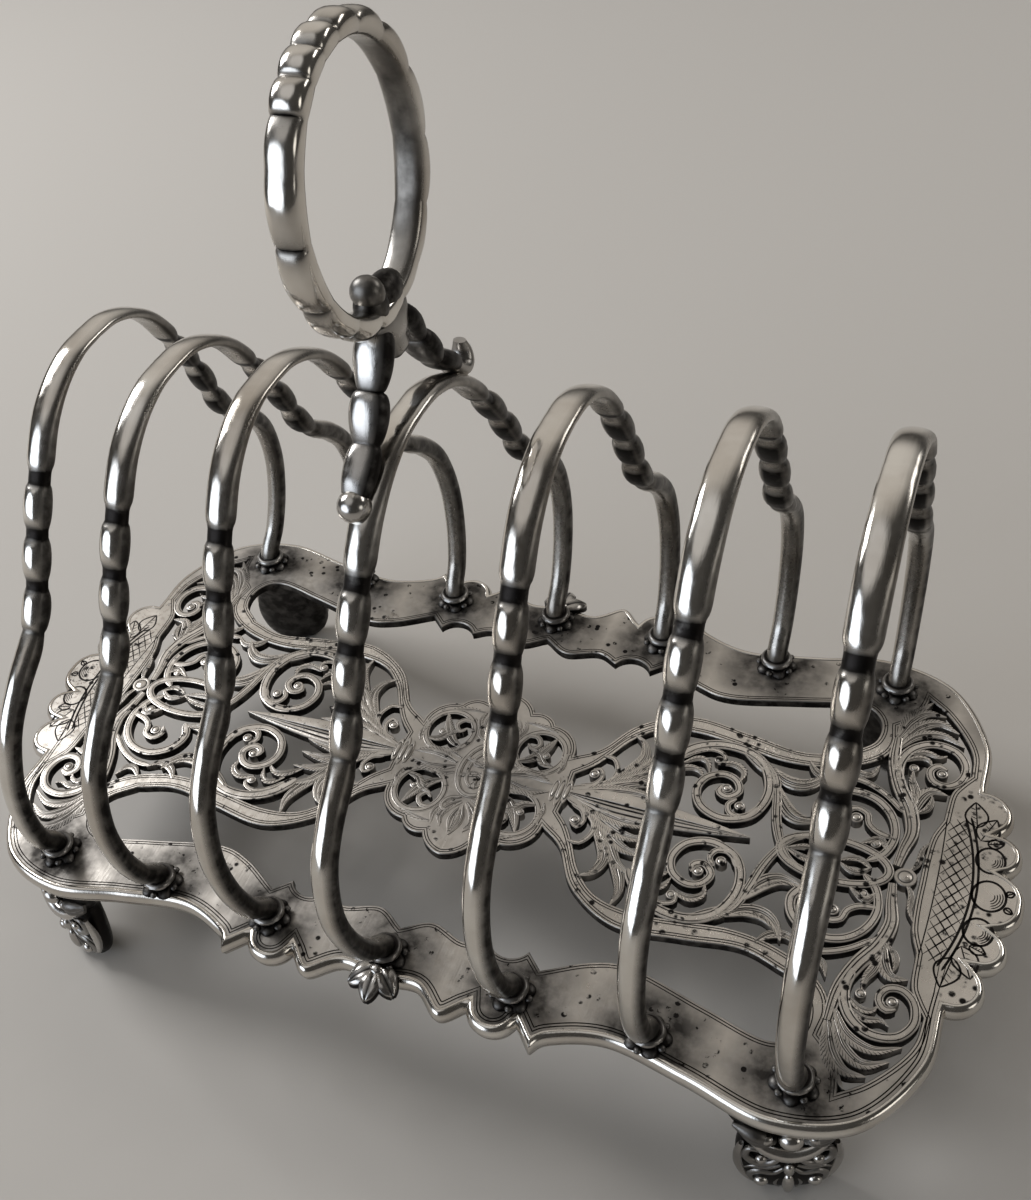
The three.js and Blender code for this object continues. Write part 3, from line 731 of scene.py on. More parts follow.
def turned(points, place, turn):
    """Plan points turned about the origin and then moved to a place."""
    x, y = np.asarray(points).T
    cosine, sine = math.cos(turn), math.sin(turn)
    return np.column_stack([place[0] + x * cosine - y * sine, place[1] + x * sine + y * cosine])


def engraved_ends(form):
    """Basket with its lattice, and the fruit and leaves that lie along its rim."""

    def engrave(line, half_width, loop=False):
        cut(form, line, half_width, loop, BOTH_ENDS)

    rows = np.linspace(-BASKET_HALF_HEIGHT, BASKET_HALF_HEIGHT, 60)
    for beyond in (0.0, 0.035):
        engrave(np.column_stack([basket_edge(rows) + beyond, rows * (1 + beyond)]), 0.28)
    engrave(np.column_stack([BASKET_START - 0.045 * rows * rows, rows * 0.95]), 0.14)
    x = np.linspace(BASKET_START - 0.02, BASKET_START + 0.26, 45)
    for lean in (-1, 1):
        for start in np.arange(-1.1, 1.1, LATTICE_GAP):
            y = start + lean * (x - BASKET_START) * LATTICE_SLOPE
            beside = (x > BASKET_START + 0.005) & (x < basket_edge(y) - 0.005)
            inside = np.flatnonzero(beside & (np.abs(y) < BASKET_HALF_HEIGHT - 0.02))
            if len(inside) > 4:
                engrave(evenly(np.column_stack([x, y])[inside[[0, -1]]], 3), 0.19)
    for centre, radius in FRUIT:
        engrave(ellipse(centre, (radius, radius * 1.12), full_turn(40)), 0.28, True)
        for share in (0.82, 0.66, 0.5, 0.34):
            size = (radius * share, radius * share * 1.1)
            engrave(ellipse(centre, size, np.linspace(-1.3, 0.5, 12)), 0.12)
    t = np.linspace(0, 1, 16)
    for root, turn, length in SPRAYS:
        for bulge, half_width in SPRAY_LINES:
            line = np.column_stack([t, bulge * np.sin(math.pi * t**0.8)]) * length
            engrave(turned(line, root, turn), half_width)
        for k in range(1, VEIN_COUNT + 1):
            vein = np.array([(k * 0.17, 0.0), (k * 0.17 + 0.1, 0.17)]) * length
            engrave(turned(evenly(vein, 3), root, turn), 0.11)


# The engraved border stops where the scallops of the ends begin, in pitches from the middle.
SCALLOPS_FROM = 3.78
# Engraved lines along the edges: distance in from the moulding and from an opening, in mm.
BORDER_LINES = (0.35, 0.85)
OPENING_LINES = (0.5, 0.95)


def make_plate():
    outer, openings, fields, rounds = plate_loops()
    form = Form()
    sheet_body(form, outer, openings + fields + rounds)
    for draw, *shape in LOBE_FOLIAGE + CARTOUCHE_FOLIAGE:
        draw(form, *shape)
    engraved_ends(form)
    for distance in BORDER_LINES:
        line = inset(outer, (RIM_WIDTH + distance) * MM / PITCH)
        for end in (-1, 1):
            line = np.roll(line, -int(np.argmax(line[:, 0] * end)), axis=0)
            long_side = line[np.abs(line[:, 0]) < SCALLOPS_FROM]
            jump = np.linalg.norm(np.diff(long_side, axis=0), axis=1).argmax() + 1
            cut(form, long_side[jump:] if end > 0 else long_side[:jump], 0.13)
    for loop in openings + fields:
        for distance in OPENING_LINES:
            cut(form, inset(loop, distance * MM / PITCH), 0.12, True)
    piece("pierced_plate", form, SHEET, ["base_plate"])
    return outer


# ---- Rounded moulding along the edge ----
RIM_WIDTH = 1.35
# Distance in from the outline and height, in mm from the plate's top, then tarnish.
RIM_SECTION = [
    (RIM_WIDTH, -0.3, 1.0), (1.3, -0.04, 0.9), (1.1, 0.1, 0.1), (0.75, 0.1, 0.0), (0.4, -0.12, 0.1),
    (0.1, -0.55, 0.2), (-0.1, -1.15, 0.0), (-0.15, -1.8, 0.05), (0.05, -2.35, 0.3), (0.3, -2.5, 0.9),
    (0.15, -2.75, 0.3), (0.3, -3.2, 0.3), (0.8, -3.4, 0.4), (RIM_WIDTH, -3.4, 0.5),
]


def make_rim(outer):
    form = Form()
    rings = [raised(inset(outer, row[0] * MM / PITCH), PLATE_TOP + row[1] * MM) for row in RIM_SECTION]
    stains = np.tile([row[2] for row in RIM_SECTION], (len(outer), 1))
    form.loft(np.stack(rings, axis=1), stains, loop=True)
    piece("edge_moulding", form, POLISHED, ["rim_moulding"], sharp=1.0)


# ---- Swept solids ----


def rounded(wave, power):
    """A sine or cosine bent towards a square section by a power below 1, with its sign kept."""
    return np.sign(wave) * np.abs(wave) ** power


def sweep(form, path, breadth, depth, tarnish_and_shade, sides, inner=1.0, flatness=0.0):
    """A tube along path (x, y, z). breadth and depth are half sizes along X and in the plane.
    inner scales the depth on the inner side, and flatness squares the section."""
    path = np.asarray(path, float)
    count = len(path)
    along = unit(np.gradient(path, axis=0))
    sideways = np.tile([1.0, 0.0, 0.0], (count, 1))
    outward = unit(np.cross(sideways, along))
    angle = full_turn(sides)
    power = 1 - 0.5 * np.broadcast_to(flatness, (count,))[:, None]
    cosine = rounded(np.cos(angle), power)
    sine = rounded(np.sin(angle), power)
    scale = np.where(sine > 0, 1.0, np.broadcast_to(inner, (count,))[:, None])
    breadth = np.broadcast_to(breadth, (count,))[:, None]
    depth = np.broadcast_to(depth, (count,))[:, None]
    rings = (
        path[:, None, :]
        + sideways[:, None, :] * (cosine * breadth)[..., None]
        + outward[:, None, :] * (sine * depth * scale)[..., None]
    )
    form.loft(rings, tarnish_and_shade)


def rope(form, path, radius, tarnish_and_shade):
    """A round tube along any path."""
    path = np.asarray(path, float)
    along = unit(np.gradient(path, axis=0))
    guide = np.tile([0.0, 0.0, 1.0], (len(path), 1))
    guide[np.abs(along[:, 2]) > 0.9] = (0.0, 1.0, 0.0)
    first = unit(np.cross(along, guide))
    for i in range(1, len(path)):
        kept = first[i - 1] - along[i] * np.dot(first[i - 1], along[i])
        first[i] = kept / np.linalg.norm(kept)
    second = np.cross(along, first)
    turn = full_turn(12)[:, None]
    size = np.broadcast_to(radius, (len(path),))[:, None, None]
    rings = path[:, None] + size * (first[:, None] * np.cos(turn) + second[:, None] * np.sin(turn))
    form.loft(rings, tarnish_and_shade)


def blob(form, centre, size, tarnish_and_shade, axes=None, rings=10, sides=16):
    """An egg with half sizes in mm along three axes."""
    axes = np.eye(3) if axes is None else np.asarray(axes, float)
    turn = full_turn(sides)
    skin = []
    for polar in np.linspace(0.12, math.pi - 0.12, rings):
        around = ellipse((0, 0), np.array(size[:2]) * math.sin(polar), turn)
        local = np.column_stack([around, np.full(sides, math.cos(polar) * size[2])]) * MM
        skin.append(np.asarray(centre, float) + local @ axes)
    form.loft(skin, tarnish_and_shade)


# ---- Bars ----
# Half of a bar's centre line, from the apex down: Y and height in pitches.
BAR_LINE = [
    (0, 3.7), (0.22, 3.68), (0.46, 3.58), (0.68, 3.4), (0.88, 3.12), (1.06, 2.82), (1.22, 2.5),
    (1.36, 2.2), (1.53, 1.98), (1.77, 1.77), (1.98, 1.48), (2.09, 1.05), (2.07, 0.62), (1.97, 0.26),
    (1.85, 0.08), (1.81, 0),
]
BAR_HEIGHT = BAR_LINE[0][1]
TOP_GROOVE = 3.12
BEAD_HEIGHT = 0.35
BEAD_COUNT = 3
BAR_SIDES = 24
# Half sizes in mm at the apex, half way down the strap, at the first and last grooves, half a
# pitch into the rod, and at the foot.
BAR_BREADTHS = [2.35, 2.5, 2.45, 2.25, 2.05, 1.85]
BAR_DEPTHS = [0.95, 1.3, 2.0, 1.9, 1.85, 1.8]
# Half breadth and half depth of the dark neck between two beads, and how much a bead adds.
NECK_SIZE = (1.95, 1.45)
BEAD_ADDS = (0.45, 0.9)
# Share of the way from groove to groove that is a dark neck; a bead fills the rest.
NECK = 0.24
# Next to the outer grooves the strap and the rod narrow: over what length in pitches, and how
# much off the half breadth and half depth in mm.
STRAP_END = (0.14, 0.7, 0.5)
ROD_START = (0.2, 0.35, 0.6)
# The bars are bent and set by hand: slope of each along X and along Y, then how far its legs
# bow along X and how far they pinch together half way up.
BAR_LEAN = [0.09, 0.04, -0.02, 0.01, 0, 0.02, 0]
BAR_TILT = [0.06, 0, 0, -0.03, 0, 0, 0]
BAR_BOW = [0.07, 0, 0, 0, 0, 0, 0]
BAR_PINCH = [0.06, 0, 0, -0.15, 0, 0, 0]


def bar_sizes(reach, grooves):
    """Half breadth, half depth and tarnish along one side of a bar, from the apex down."""
    first, last = grooves[0], grooves[-1]
    breadth = np.interp(reach, [0, first * 0.6, first, last, last + 0.5, reach[-1]], BAR_BREADTHS)
    depth = np.interp(reach, [0, first * 0.5, first, last, last + 0.5, reach[-1]], BAR_DEPTHS)
    stain = np.zeros(len(reach))
    for start, stop in zip(grooves, grooves[1:]):
        inside = (reach >= start) & (reach <= stop)
        share = (reach[inside] - start) / (stop - start)
        beyond_neck = np.clip((share - NECK) / (1 - NECK), 0, 1)
        bulge = np.sin(math.pi * beyond_neck**0.9) ** 0.5
        breadth[inside] = NECK_SIZE[0] + BEAD_ADDS[0] * bulge
        depth[inside] = NECK_SIZE[1] + BEAD_ADDS[1] * bulge
        stain[inside] = np.clip(1.15 - 1.5 * bulge, 0, 1)
    length, off_breadth, off_depth = STRAP_END
    before = (reach < first) & (reach > first - length)
    shrink = ((reach[before] - first + length) / length) ** 3
    breadth[before] -= off_breadth * shrink
    depth[before] -= off_depth * shrink
    stain[before] = shrink
    length, off_breadth, off_depth = ROD_START
    after = (reach > last) & (reach < last + length)
    grow = (1 - (reach[after] - last) / length) ** 2
    breadth[after] -= off_breadth * grow
    depth[after] -= off_depth * grow
    stain[after] = grow * 0.9
    foot_stain = np.clip((reach - reach[-1] + 0.3) / 0.3, 0, 1) ** 2 * 0.6
    return breadth, depth, np.maximum(stain, foot_stain)


def bar_path(number, side):
    """The centre line of one bar from foot to foot, from the right half of an upright one."""
    swing = np.sin(math.pi * side[:, 1] / BAR_HEIGHT)
    leg = side - np.column_stack([BAR_PINCH[number - 1] * swing, np.zeros(len(side))])
    both = np.vstack([leg[::-1] * (-1, 1), leg[1:]])
    bow = BAR_BOW[number - 1] * np.concatenate([swing[::-1], swing[1:]])
    rise = (BAR_TOP - COLLAR_TOP - 1.1 * MM) / BAR_HEIGHT
    x = (number - MIDDLE_BAR + BAR_LEAN[number - 1] * both[:, 1] + bow) * PITCH
    y = (both[:, 0] + BAR_TILT[number - 1] * both[:, 1]) * PITCH
    path = np.column_stack([x, y, COLLAR_TOP + both[:, 1] * rise])
    # Each end goes straight down into its collar.
    return np.vstack([path[0] - (0, 0, 1 * MM), path, path[-1] - (0, 0, 1 * MM)])


def make_bar(number):
    """A flat strap over the top, beads between grooves, and a round rod down to each foot."""
    side = smooth(BAR_LINE, 0.028)
    reach = distances(side)
    heights = TOP_GROOVE - BEAD_HEIGHT * np.arange(BEAD_COUNT + 1)
    grooves = np.interp(-heights, -side[:, 1], reach)
    first, last = grooves[0], grooves[-1]
    breadth, depth, stain = bar_sizes(reach, grooves)
    flatness = np.interp(reach, [0, first, last, last + 0.4], [0.4, 0.12, 0.1, 0.0])
    inner = np.interp(reach, [0, first, last, last + 0.5], [0.35, 0.6, 0.75, 1.0])
    # The inner side is black inside each bead and along the strap, with bright edges between.
    beaded = (reach > first - 0.1) & (reach < last + 0.1)
    plain = np.interp(reach, [0, first, reach[-1]], [0.25, 0.5, 0.4])
    hollow = np.where(beaded, np.clip(1.3 - 1.5 * stain, 0, 1), plain)
    # Painted shade on the flank towards +X, as a streak that widens down the rod.
    flank_shade_strength = np.interp(reach, [0, first, reach[-1]], [0.3, 0.85, 0.92])
    # One side's values from foot to foot, with one more for each end in its collar.
    breadth, depth, stain, flatness, inner, hollow, flank_shade_strength = (
        np.concatenate([values[-1:], values[::-1], values[1:], values[-1:]])
        for values in (breadth, depth, stain, flatness, inner, hollow, flank_shade_strength)
    )
    angle = full_turn(BAR_SIDES)
    inward = np.clip(-np.sin(angle) * 1.6 - 0.4, 0, 1)
    flank_shade_mask = np.clip(np.cos(angle) * 1.8 - 0.5, 0, 1)
    stains = stain[:, None] * (1 - 0.7 * inward) + hollow[:, None] * inward
    # Painted shade on the +X flank, laid over the darkening worked out above.
    stains = np.clip(np.maximum(stains, flank_shade_strength[:, None] * flank_shade_mask), 0, 1)
    form = Form()
    sweep(form, bar_path(number, side), breadth * MM, depth * MM, stains, BAR_SIDES, inner, flatness)
    piece(f"arched_bar_{number}", form, POLISHED, [f"bar_{number}"], sharp=1.2)


# ---- Cast collars round the feet of the bars ----
# Radius and height in mm, depth of the petals, tarnish.
COLLAR_PROFILE = [
    (3.6, -0.2, 1.1, 1.0), (3.8, 0.2, 1.1, 0.9), (3.5, 0.7, 1.1, 0.7), (2.8, 1.0, 0.7, 0.9),
    (2.25, 1.0, 0.3, 1.0), (2.4, 1.2, 0.2, 1.0), (2.75, 1.55, 0.15, 0.7), (2.9, 1.95, 0.1, 0.3),
    (2.65, 2.4, 0.1, 0.4), (2.25, 2.6, 0.0, 0.9), (2.05, 2.55, 0.0, 1.0), (1.9, 2.6, 0.0, 1.0),
]
PETALS = 5
PETAL_BEAD_RADIUS = 3.1 * MM
PETAL_BEAD_HEIGHT = 0.75 * MM


def make_collar(side_name, number):
    """A rosette of cast petals with a bright ring on it, beads between the petals, and the socket."""
    node = f"collar_{side_name}_{number}"
    spot = middle(node)
    turn = full_turn(10 * PETALS)
    scallop = 1 - np.abs(np.cos(turn * PETALS / 2 + number))
    form = Form()
    rings = []
    stains = []
    for radius, height, petal, stain in COLLAR_PROFILE:
        wave = (radius - petal * scallop) * MM
        heights = np.full(len(turn), PLATE_TOP + height * MM)
        rings.append(np.column_stack([ellipse(spot, (wave, wave), turn), heights]))
        stains.append(np.clip(stain + petal * scallop, 0, 1))
    form.loft(rings, stains)
    for k in range(PETALS):
        angle = (2 * k + 1) * math.pi / PETALS - 2 * number / PETALS
        out = Vector((math.cos(angle), math.sin(angle), 0)) * PETAL_BEAD_RADIUS
        place = (spot.x + out.x, spot.y + out.y, PLATE_TOP + PETAL_BEAD_HEIGHT)
        blob(form, place, (0.62, 0.62, 0.45), 0.75, None, 8, 12)
    piece(f"cast_{node}", form, CAST, [node], sharp=0.9)


# ---- Cast feet ----
# Height in mm, offset outwards, half breadth and half depth of the foot's body.
FOOT_BODY = [
    (0.0, 1.6, 3.6, 1.6), (0.5, 1.7, 4.6, 2.0), (2.0, 1.9, 6.2, 2.6), (4.5, 1.8, 7.3, 2.9),
    (7.5, 1.5, 7.7, 2.9), (10.5, 1.0, 7.5, 2.7), (13.0, 0.5, 6.9, 2.4), (15.0, 0.2, 6.6, 2.4),
    (17.0, 0.3, 7.8, 2.8), (19.0, 0.4, 8.8, 3.0), (20.9, 0.2, 9.3, 2.8),
]
FOOT_CORNERS = 32
# How far a foot turns out towards its corner, in radians, and how far its frame is set back.
FOOT_TURN = 0.36
FOOT_SETBACK = 1.2 * MM
# The middle of a foot's front stands this far out, in mm, and falls off to both sides.
FOOT_FRONT = 4.2
FRONT_FALL = 0.02
# Half of what is on the front, mirrored: points (sideways, up) in mm, radius, tarnish, lift.
FOOT_CURLS = [
    ([(1.0, 11.8), (2.8, 9.6), (5.0, 9.4), (6.4, 11.0), (5.8, 13.2), (4.2, 13.0)], 0.75, 0.5, 0.0),
    ([(7.0, 14.0), (7.4, 10.5), (7.2, 7.0), (6.0, 3.6), (4.0, 1.6)], 0.8, 0.1, -0.2),
    ([(0.8, 7.6), (2.2, 6.4), (4.4, 6.6), (5.6, 5.0), (5.0, 3.0), (3.4, 2.4)], 0.7, 0.5, 0.0),
    ([(1.2, 8.6), (3.0, 7.8), (5.2, 7.6), (6.4, 6.6)], 0.45, 0.5, 0.0),
    ([(0.6, 5.6), (1.6, 4.6), (1.9, 3.0), (1.3, 1.4)], 0.55, 0.5, 0.0),
]
# Place (sideways, up, outwards) and half sizes of a bead in mm, and its tarnish.
SIDE_BEADS = [
    ((4.0, 3.9, 4.3), (1.15, 1.15, 0.9), 0.05), ((4.2, 11.4, 4.3), (0.9, 0.9, 0.8), 0.1),
    ((3.6, 17.2, 3.9), (1.2, 1.0, 1.0), 0.2),
]
# The husk in the middle, the bud above it and the boss under the rim.
MIDDLE_BEADS = [
    ((0, 3.4, 4.6), (1.0, 2.9, 1.0), 0.05), ((0, 8.0, 4.5), (0.9, 1.6, 0.9), 0.2),
    ((0, 17.4, 4.3), (1.9, 1.7, 1.5), 0.0),
]
# Leaf wings that spread under the rim: reach, height of the tip and radius in mm.
FOOT_WINGS = [(8.2, 18.6, 1.3), (7.4, 17.0, 1.2), (6.4, 15.4, 1.0)]
CRESCENT = [(-6.2, 16.6, 3.2), (-3.4, 14.2, 4.0), (0, 13.2, 4.3), (3.4, 14.2, 4.0), (6.2, 16.6, 3.2)]


def make_foot(side_name, end_name):
    node = f"foot_{side_name}_{end_name}"
    sx, sy = ENDS[end_name], SIDES[side_name]
    spot = middle(node)
    out = np.array([sx * math.sin(FOOT_TURN), sy * math.cos(FOOT_TURN), 0.0])
    side = np.array([math.cos(FOOT_TURN), -sx * sy * math.sin(FOOT_TURN), 0.0])
    axes = np.array([side, (0.0, 0.0, 1.0), out])
    origin = np.array([spot.x, spot.y, 0.0]) - out * FOOT_SETBACK
    form = Form()

    def placed(points):
        """Points (sideways, up, outwards) in mm, placed on this foot."""
        return origin + np.asarray(points, float) * MM @ axes

    def strand(line, start, full, end, peak, tarnish_and_shade):
        rope(form, placed(line), swell(len(line), start, full, end, peak) * MM, tarnish_and_shade)

    body = smooth([(offset, height, breadth) for height, offset, breadth, _ in FOOT_BODY], 0.7)
    depths = np.interp(body[:, 1], [row[0] for row in FOOT_BODY], [row[3] for row in FOOT_BODY])
    angle = full_turn(FOOT_CORNERS)
    round_side, round_out = rounded(np.cos(angle), 0.8), rounded(np.sin(angle), 0.8)
    rings = []
    for (offset, height, breadth), depth in zip(body, depths):
        level = np.full(FOOT_CORNERS, max(height, 0.0))
        rings.append(placed(np.column_stack([round_side * breadth, level, offset + round_out * depth])))
    form.loft(rings, np.where(np.sin(angle) > -0.2, 1.0, 0.9))
    for hand in (-1, 1):
        for curl, radius, tarnish_and_shade, lift in FOOT_CURLS:
            line = [(hand * x, y, FOOT_FRONT + lift - FRONT_FALL * x * x) for x, y in curl]
            strand(smooth(line, 0.35), radius * 0.5, radius, radius * 0.45, 0.4, tarnish_and_shade)
        for (x, y, z), size, tarnish_and_shade in SIDE_BEADS:
            blob(form, placed((hand * x, y, z)), size, tarnish_and_shade, axes)
        for reach, tip, radius in FOOT_WINGS:
            wing = [(2.2, 15.4, 3.2), (reach * 0.55, tip - 1.2, 3.6), (reach, tip, 2.2)]
            strand(smooth([(hand * x, y, z) for x, y, z in wing], 0.4), 0.5, radius, 0.4, 0.5, 0.7)
    strand(smooth(CRESCENT, 0.4), 0.5, 1.5, 0.5, 0.5, 0.05)
    for place, size, tarnish_and_shade in MIDDLE_BEADS:
        blob(form, placed(place), size, tarnish_and_shade, axes)
    piece(f"scroll_{node}", form, CAST, [node], sharp=1.0)


# ---- Ring handle, its block and the two husk legs ----
RING_CENTRE = middle("ring_handle")
RING_HALF_WIDTH = 0.7
RING_HALF_HEIGHT = 0.8
# Where sharp grooves cut the outside of the ring, in degrees up from the rear.
RING_GROOVES = [-32, -5, 25, 52, 74, 92, 106, 120, 134, 180, 210, 236, 258, 282]
LONG_LOBE = 40
RING_STEPS = 400
RING_SIDES = 24
# Half breadth of the ring's section in a groove and what a lobe adds, then the same for its
# outer side, and the depth of its inner side, in mm.
RING_BREADTH = (2.1, 0.45)
RING_OUTER = (1.25, 0.95)
RING_INNER = 1.3
# The knob inside the foot of the ring, and the dark lump that joins it to the rear side:
# Y and height in pitches, half sizes in mm, tarnish.
RING_KNOB = [
    (-0.21, 4.6, (2.4, 2.0, 2.3), 0.75), (-0.2, 4.5, (2.4, 2.4, 2.6), 0.9),
    (-0.03, 4.5, (2.3, 3.8, 2.7), 0.92), (0.12, 4.46, (2.0, 3.0, 2.0), 0.9),
]


def ring_lobe(angle):
    """Height of the lobe at this angle, from 0 in a groove to 1. A long lobe has a waist."""
    degrees = (math.degrees(angle) - RING_GROOVES[0]) % 360 + RING_GROOVES[0]
    edges = RING_GROOVES + [RING_GROOVES[0] + 360]
    low, high = next(pair for pair in zip(edges, edges[1:]) if pair[0] <= degrees <= pair[1])
    share = (degrees - low) / (high - low)
    height = math.sin(math.pi * share) ** 0.45
    if high - low > LONG_LOBE:
        height *= 1 - 0.35 * math.exp(-((share - 0.42) / 0.14) ** 2)
    return height


def make_ring():
    form = Form()
    turn = full_turn(RING_SIDES)
    outer = np.clip(np.sin(turn), 0, 1)
    inner = np.clip(-np.sin(turn), 0, 1)
    rings = []
    stains = []
    for angle in full_turn(RING_STEPS):
        lobe = ring_lobe(angle)
        cosine, sine = math.cos(angle), math.sin(angle)
        outward = unit(np.array([0.0, cosine * RING_HALF_HEIGHT, sine * RING_HALF_WIDTH]))
        breadth = RING_BREADTH[0] + RING_BREADTH[1] * lobe * (0.4 + 0.6 * outer)
        across = rounded(np.cos(turn), 0.75) * breadth
        radial = outer ** 0.8 * (RING_OUTER[0] + RING_OUTER[1] * lobe) - inner ** 0.7 * RING_INNER
        spine = np.array(RING_CENTRE) + (0, cosine * RING_HALF_WIDTH * PITCH, sine * RING_HALF_HEIGHT * PITCH)
        rings.append(spine + np.outer(across * MM, [1, 0, 0]) + np.outer(radial * MM, outward))
        # The rear side of the ring is darker all round.
        rear = 0.35 * max(0.0, cosine)
        groove = np.clip((1 - lobe) ** 1.3 * (0.1 + 1.1 * outer), 0, 1)
        stains.append(groove + inner * (0.28 + rear) + rear * 0.5)
    form.loft(rings, np.clip(stains, 0, 1), loop=True)
    for y, height, size, stain in RING_KNOB:
        blob(form, (RING_CENTRE.x, y * PITCH, PLATE_TOP + height * PITCH), size, stain, None, 14, 22)
    piece("lobed_ring", form, POLISHED, ["ring_handle"], sharp=1.1)


# Share of the height, share of the half length along Y, share of the half breadth, tarnish.
BLOCK_ROWS = [
    (0.0, 0.8, 0.9, 0.9), (0.15, 1.0, 1.0, 0.3), (0.45, 0.9, 0.92, 0.4), (0.75, 1.25, 1.05, 0.2),
    (1.1, 1.7, 1.0, 0.4), (1.45, 1.9, 0.85, 0.6), (1.7, 1.5, 0.6, 0.7),
]


def make_saddle():
    """The block under the ring. It spreads into the ring's foot, above the CAD block's top."""
    low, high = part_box("handle_saddle")
    centre = (RING_CENTRE.x, (low.y + high.y) / 2)
    turn = full_turn(28)
    square_x, square_y = rounded(np.cos(turn), 0.55), rounded(np.sin(turn), 0.55)
    rings = []
    stains = []
    for share, long, thick, stain in BLOCK_ROWS:
        x = centre[0] + square_x * (high.x - low.x) / 2 * thick
        y = centre[1] + square_y * (high.y - low.y) / 2 * long
        rings.append(np.column_stack([x, y, np.full(len(turn), low.z + (high.z - low.z) * share)]))
        stains.append(np.full(len(turn), stain))
    form = Form()
    form.loft(rings, stains)
    piece("ring_block", form, CAST, ["handle_saddle"], sharp=0.9)


# Y, counted out from the middle between the legs, and height in pitches, from the block to the toe.
LEG_LINE = [
    (0.1, 4.36), (0.19, 4.24), (0.25, 4.13), (0.33, 4.01), (0.41, 3.88), (0.48, 3.77), (0.57, 3.69),
    (0.67, 3.61), (0.75, 3.52),
]
# Half breadth and half depth in mm at both ends of a leg, and where the husks swell from.
LEG_END = (1.7, 1.1)
HUSK_NECK = (1.75, 1.1)
# Where along the leg each husk starts and ends, its half breadth and half depth in mm.
HUSKS = [(0.02, 0.36, 2.9, 1.7), (0.36, 0.66, 2.9, 1.8), (0.66, 0.97, 2.6, 1.6)]
LEG_SIDES = 24
# The curled toe of the rear leg: along Y and up from the end of the leg, in mm.
VOLUTE = [(-1.0, 1.0), (0, -0.4), (1.4, -1.4), (3.0, -1.2), (3.6, 0.4), (3.3, 2.2)]


def make_leg(side_name):
    side = SIDES[side_name]
    middle_y = (middle("handle_leg_front").y + middle("handle_leg_rear").y) / 2
    line = smooth(LEG_LINE, 0.012)
    share = np.linspace(0, 1, len(line))
    breadth = np.full(len(line), LEG_END[0])
    depth = np.full(len(line), LEG_END[1])
    stain = np.full(len(line), 0.85)
    for start, stop, wide, thick in HUSKS:
        inside = (share >= start) & (share <= stop)
        bulge = np.sin(math.pi * ((share[inside] - start) / (stop - start)) ** 0.75) ** 0.6
        breadth[inside] = HUSK_NECK[0] + (wide - HUSK_NECK[0]) * bulge
        depth[inside] = HUSK_NECK[1] + (thick - HUSK_NECK[1]) * bulge
        stain[inside] = np.clip(1 - bulge * 1.25, 0, 1)
    across = middle_y + side * line[:, 0] * PITCH
    path = np.column_stack([np.full(len(line), RING_CENTRE.x), across, PLATE_TOP + line[:, 1] * PITCH])
    # Painted shade: black underneath, dark on the flanks and most of all towards +X; the outer face is
    # bright.
    around = full_turn(LEG_SIDES)
    underside_shade = np.clip(0.75 - np.sin(around) * side * 1.2, 0, 1)
    stain = stain[:, None]
    stains = np.clip(stain * (1 - 0.5 * underside_shade) + underside_shade * (1 - stain) * 0.8, 0, 1)
    # Painted shade on the flank towards +X.
    stains = np.maximum(stains, np.clip(np.cos(around) * 1.8 - 0.3, 0, 1) * 0.92)
    form = Form()
    sweep(form, path, breadth * MM, depth * MM, stains, LEG_SIDES, flatness=0.3)
    toe = path[-1]
    if side_name == "front":
        blob(form, toe + (0, -0.2 * MM, -0.2 * MM), (2.4, 2.4, 2.3), 0.05, None, 14, 20)
    else:
        curl = smooth(VOLUTE, 0.3)
        thick = swell(len(curl), 1.4, 1.7, 0.8, 0.4) * MM
        volute = toe + np.column_stack([np.zeros(len(curl)), curl * MM])
        sweep(form, volute, thick * 1.3, thick * 0.8, 0.3, 16)
    piece(f"husk_leg_{side_name}", form, CAST, [f"handle_leg_{side_name}"], sharp=1.0)


# ---- Palmette at the middle of each long side ----
# Three broad lobes: direction, length and half width in mm.
PALMETTE_LOBES = [(-0.85, 5.4, 2.0), (0.85, 5.4, 2.0), (0.0, 5.8, 1.9)]
LOBE_STATIONS = 22
LOBE_CORNERS = 9
# How far along a lobe its tip starts to close, and how thick it is in mm.
LOBE_CLOSES = 0.6
LOBE_THICKNESS = 0.9


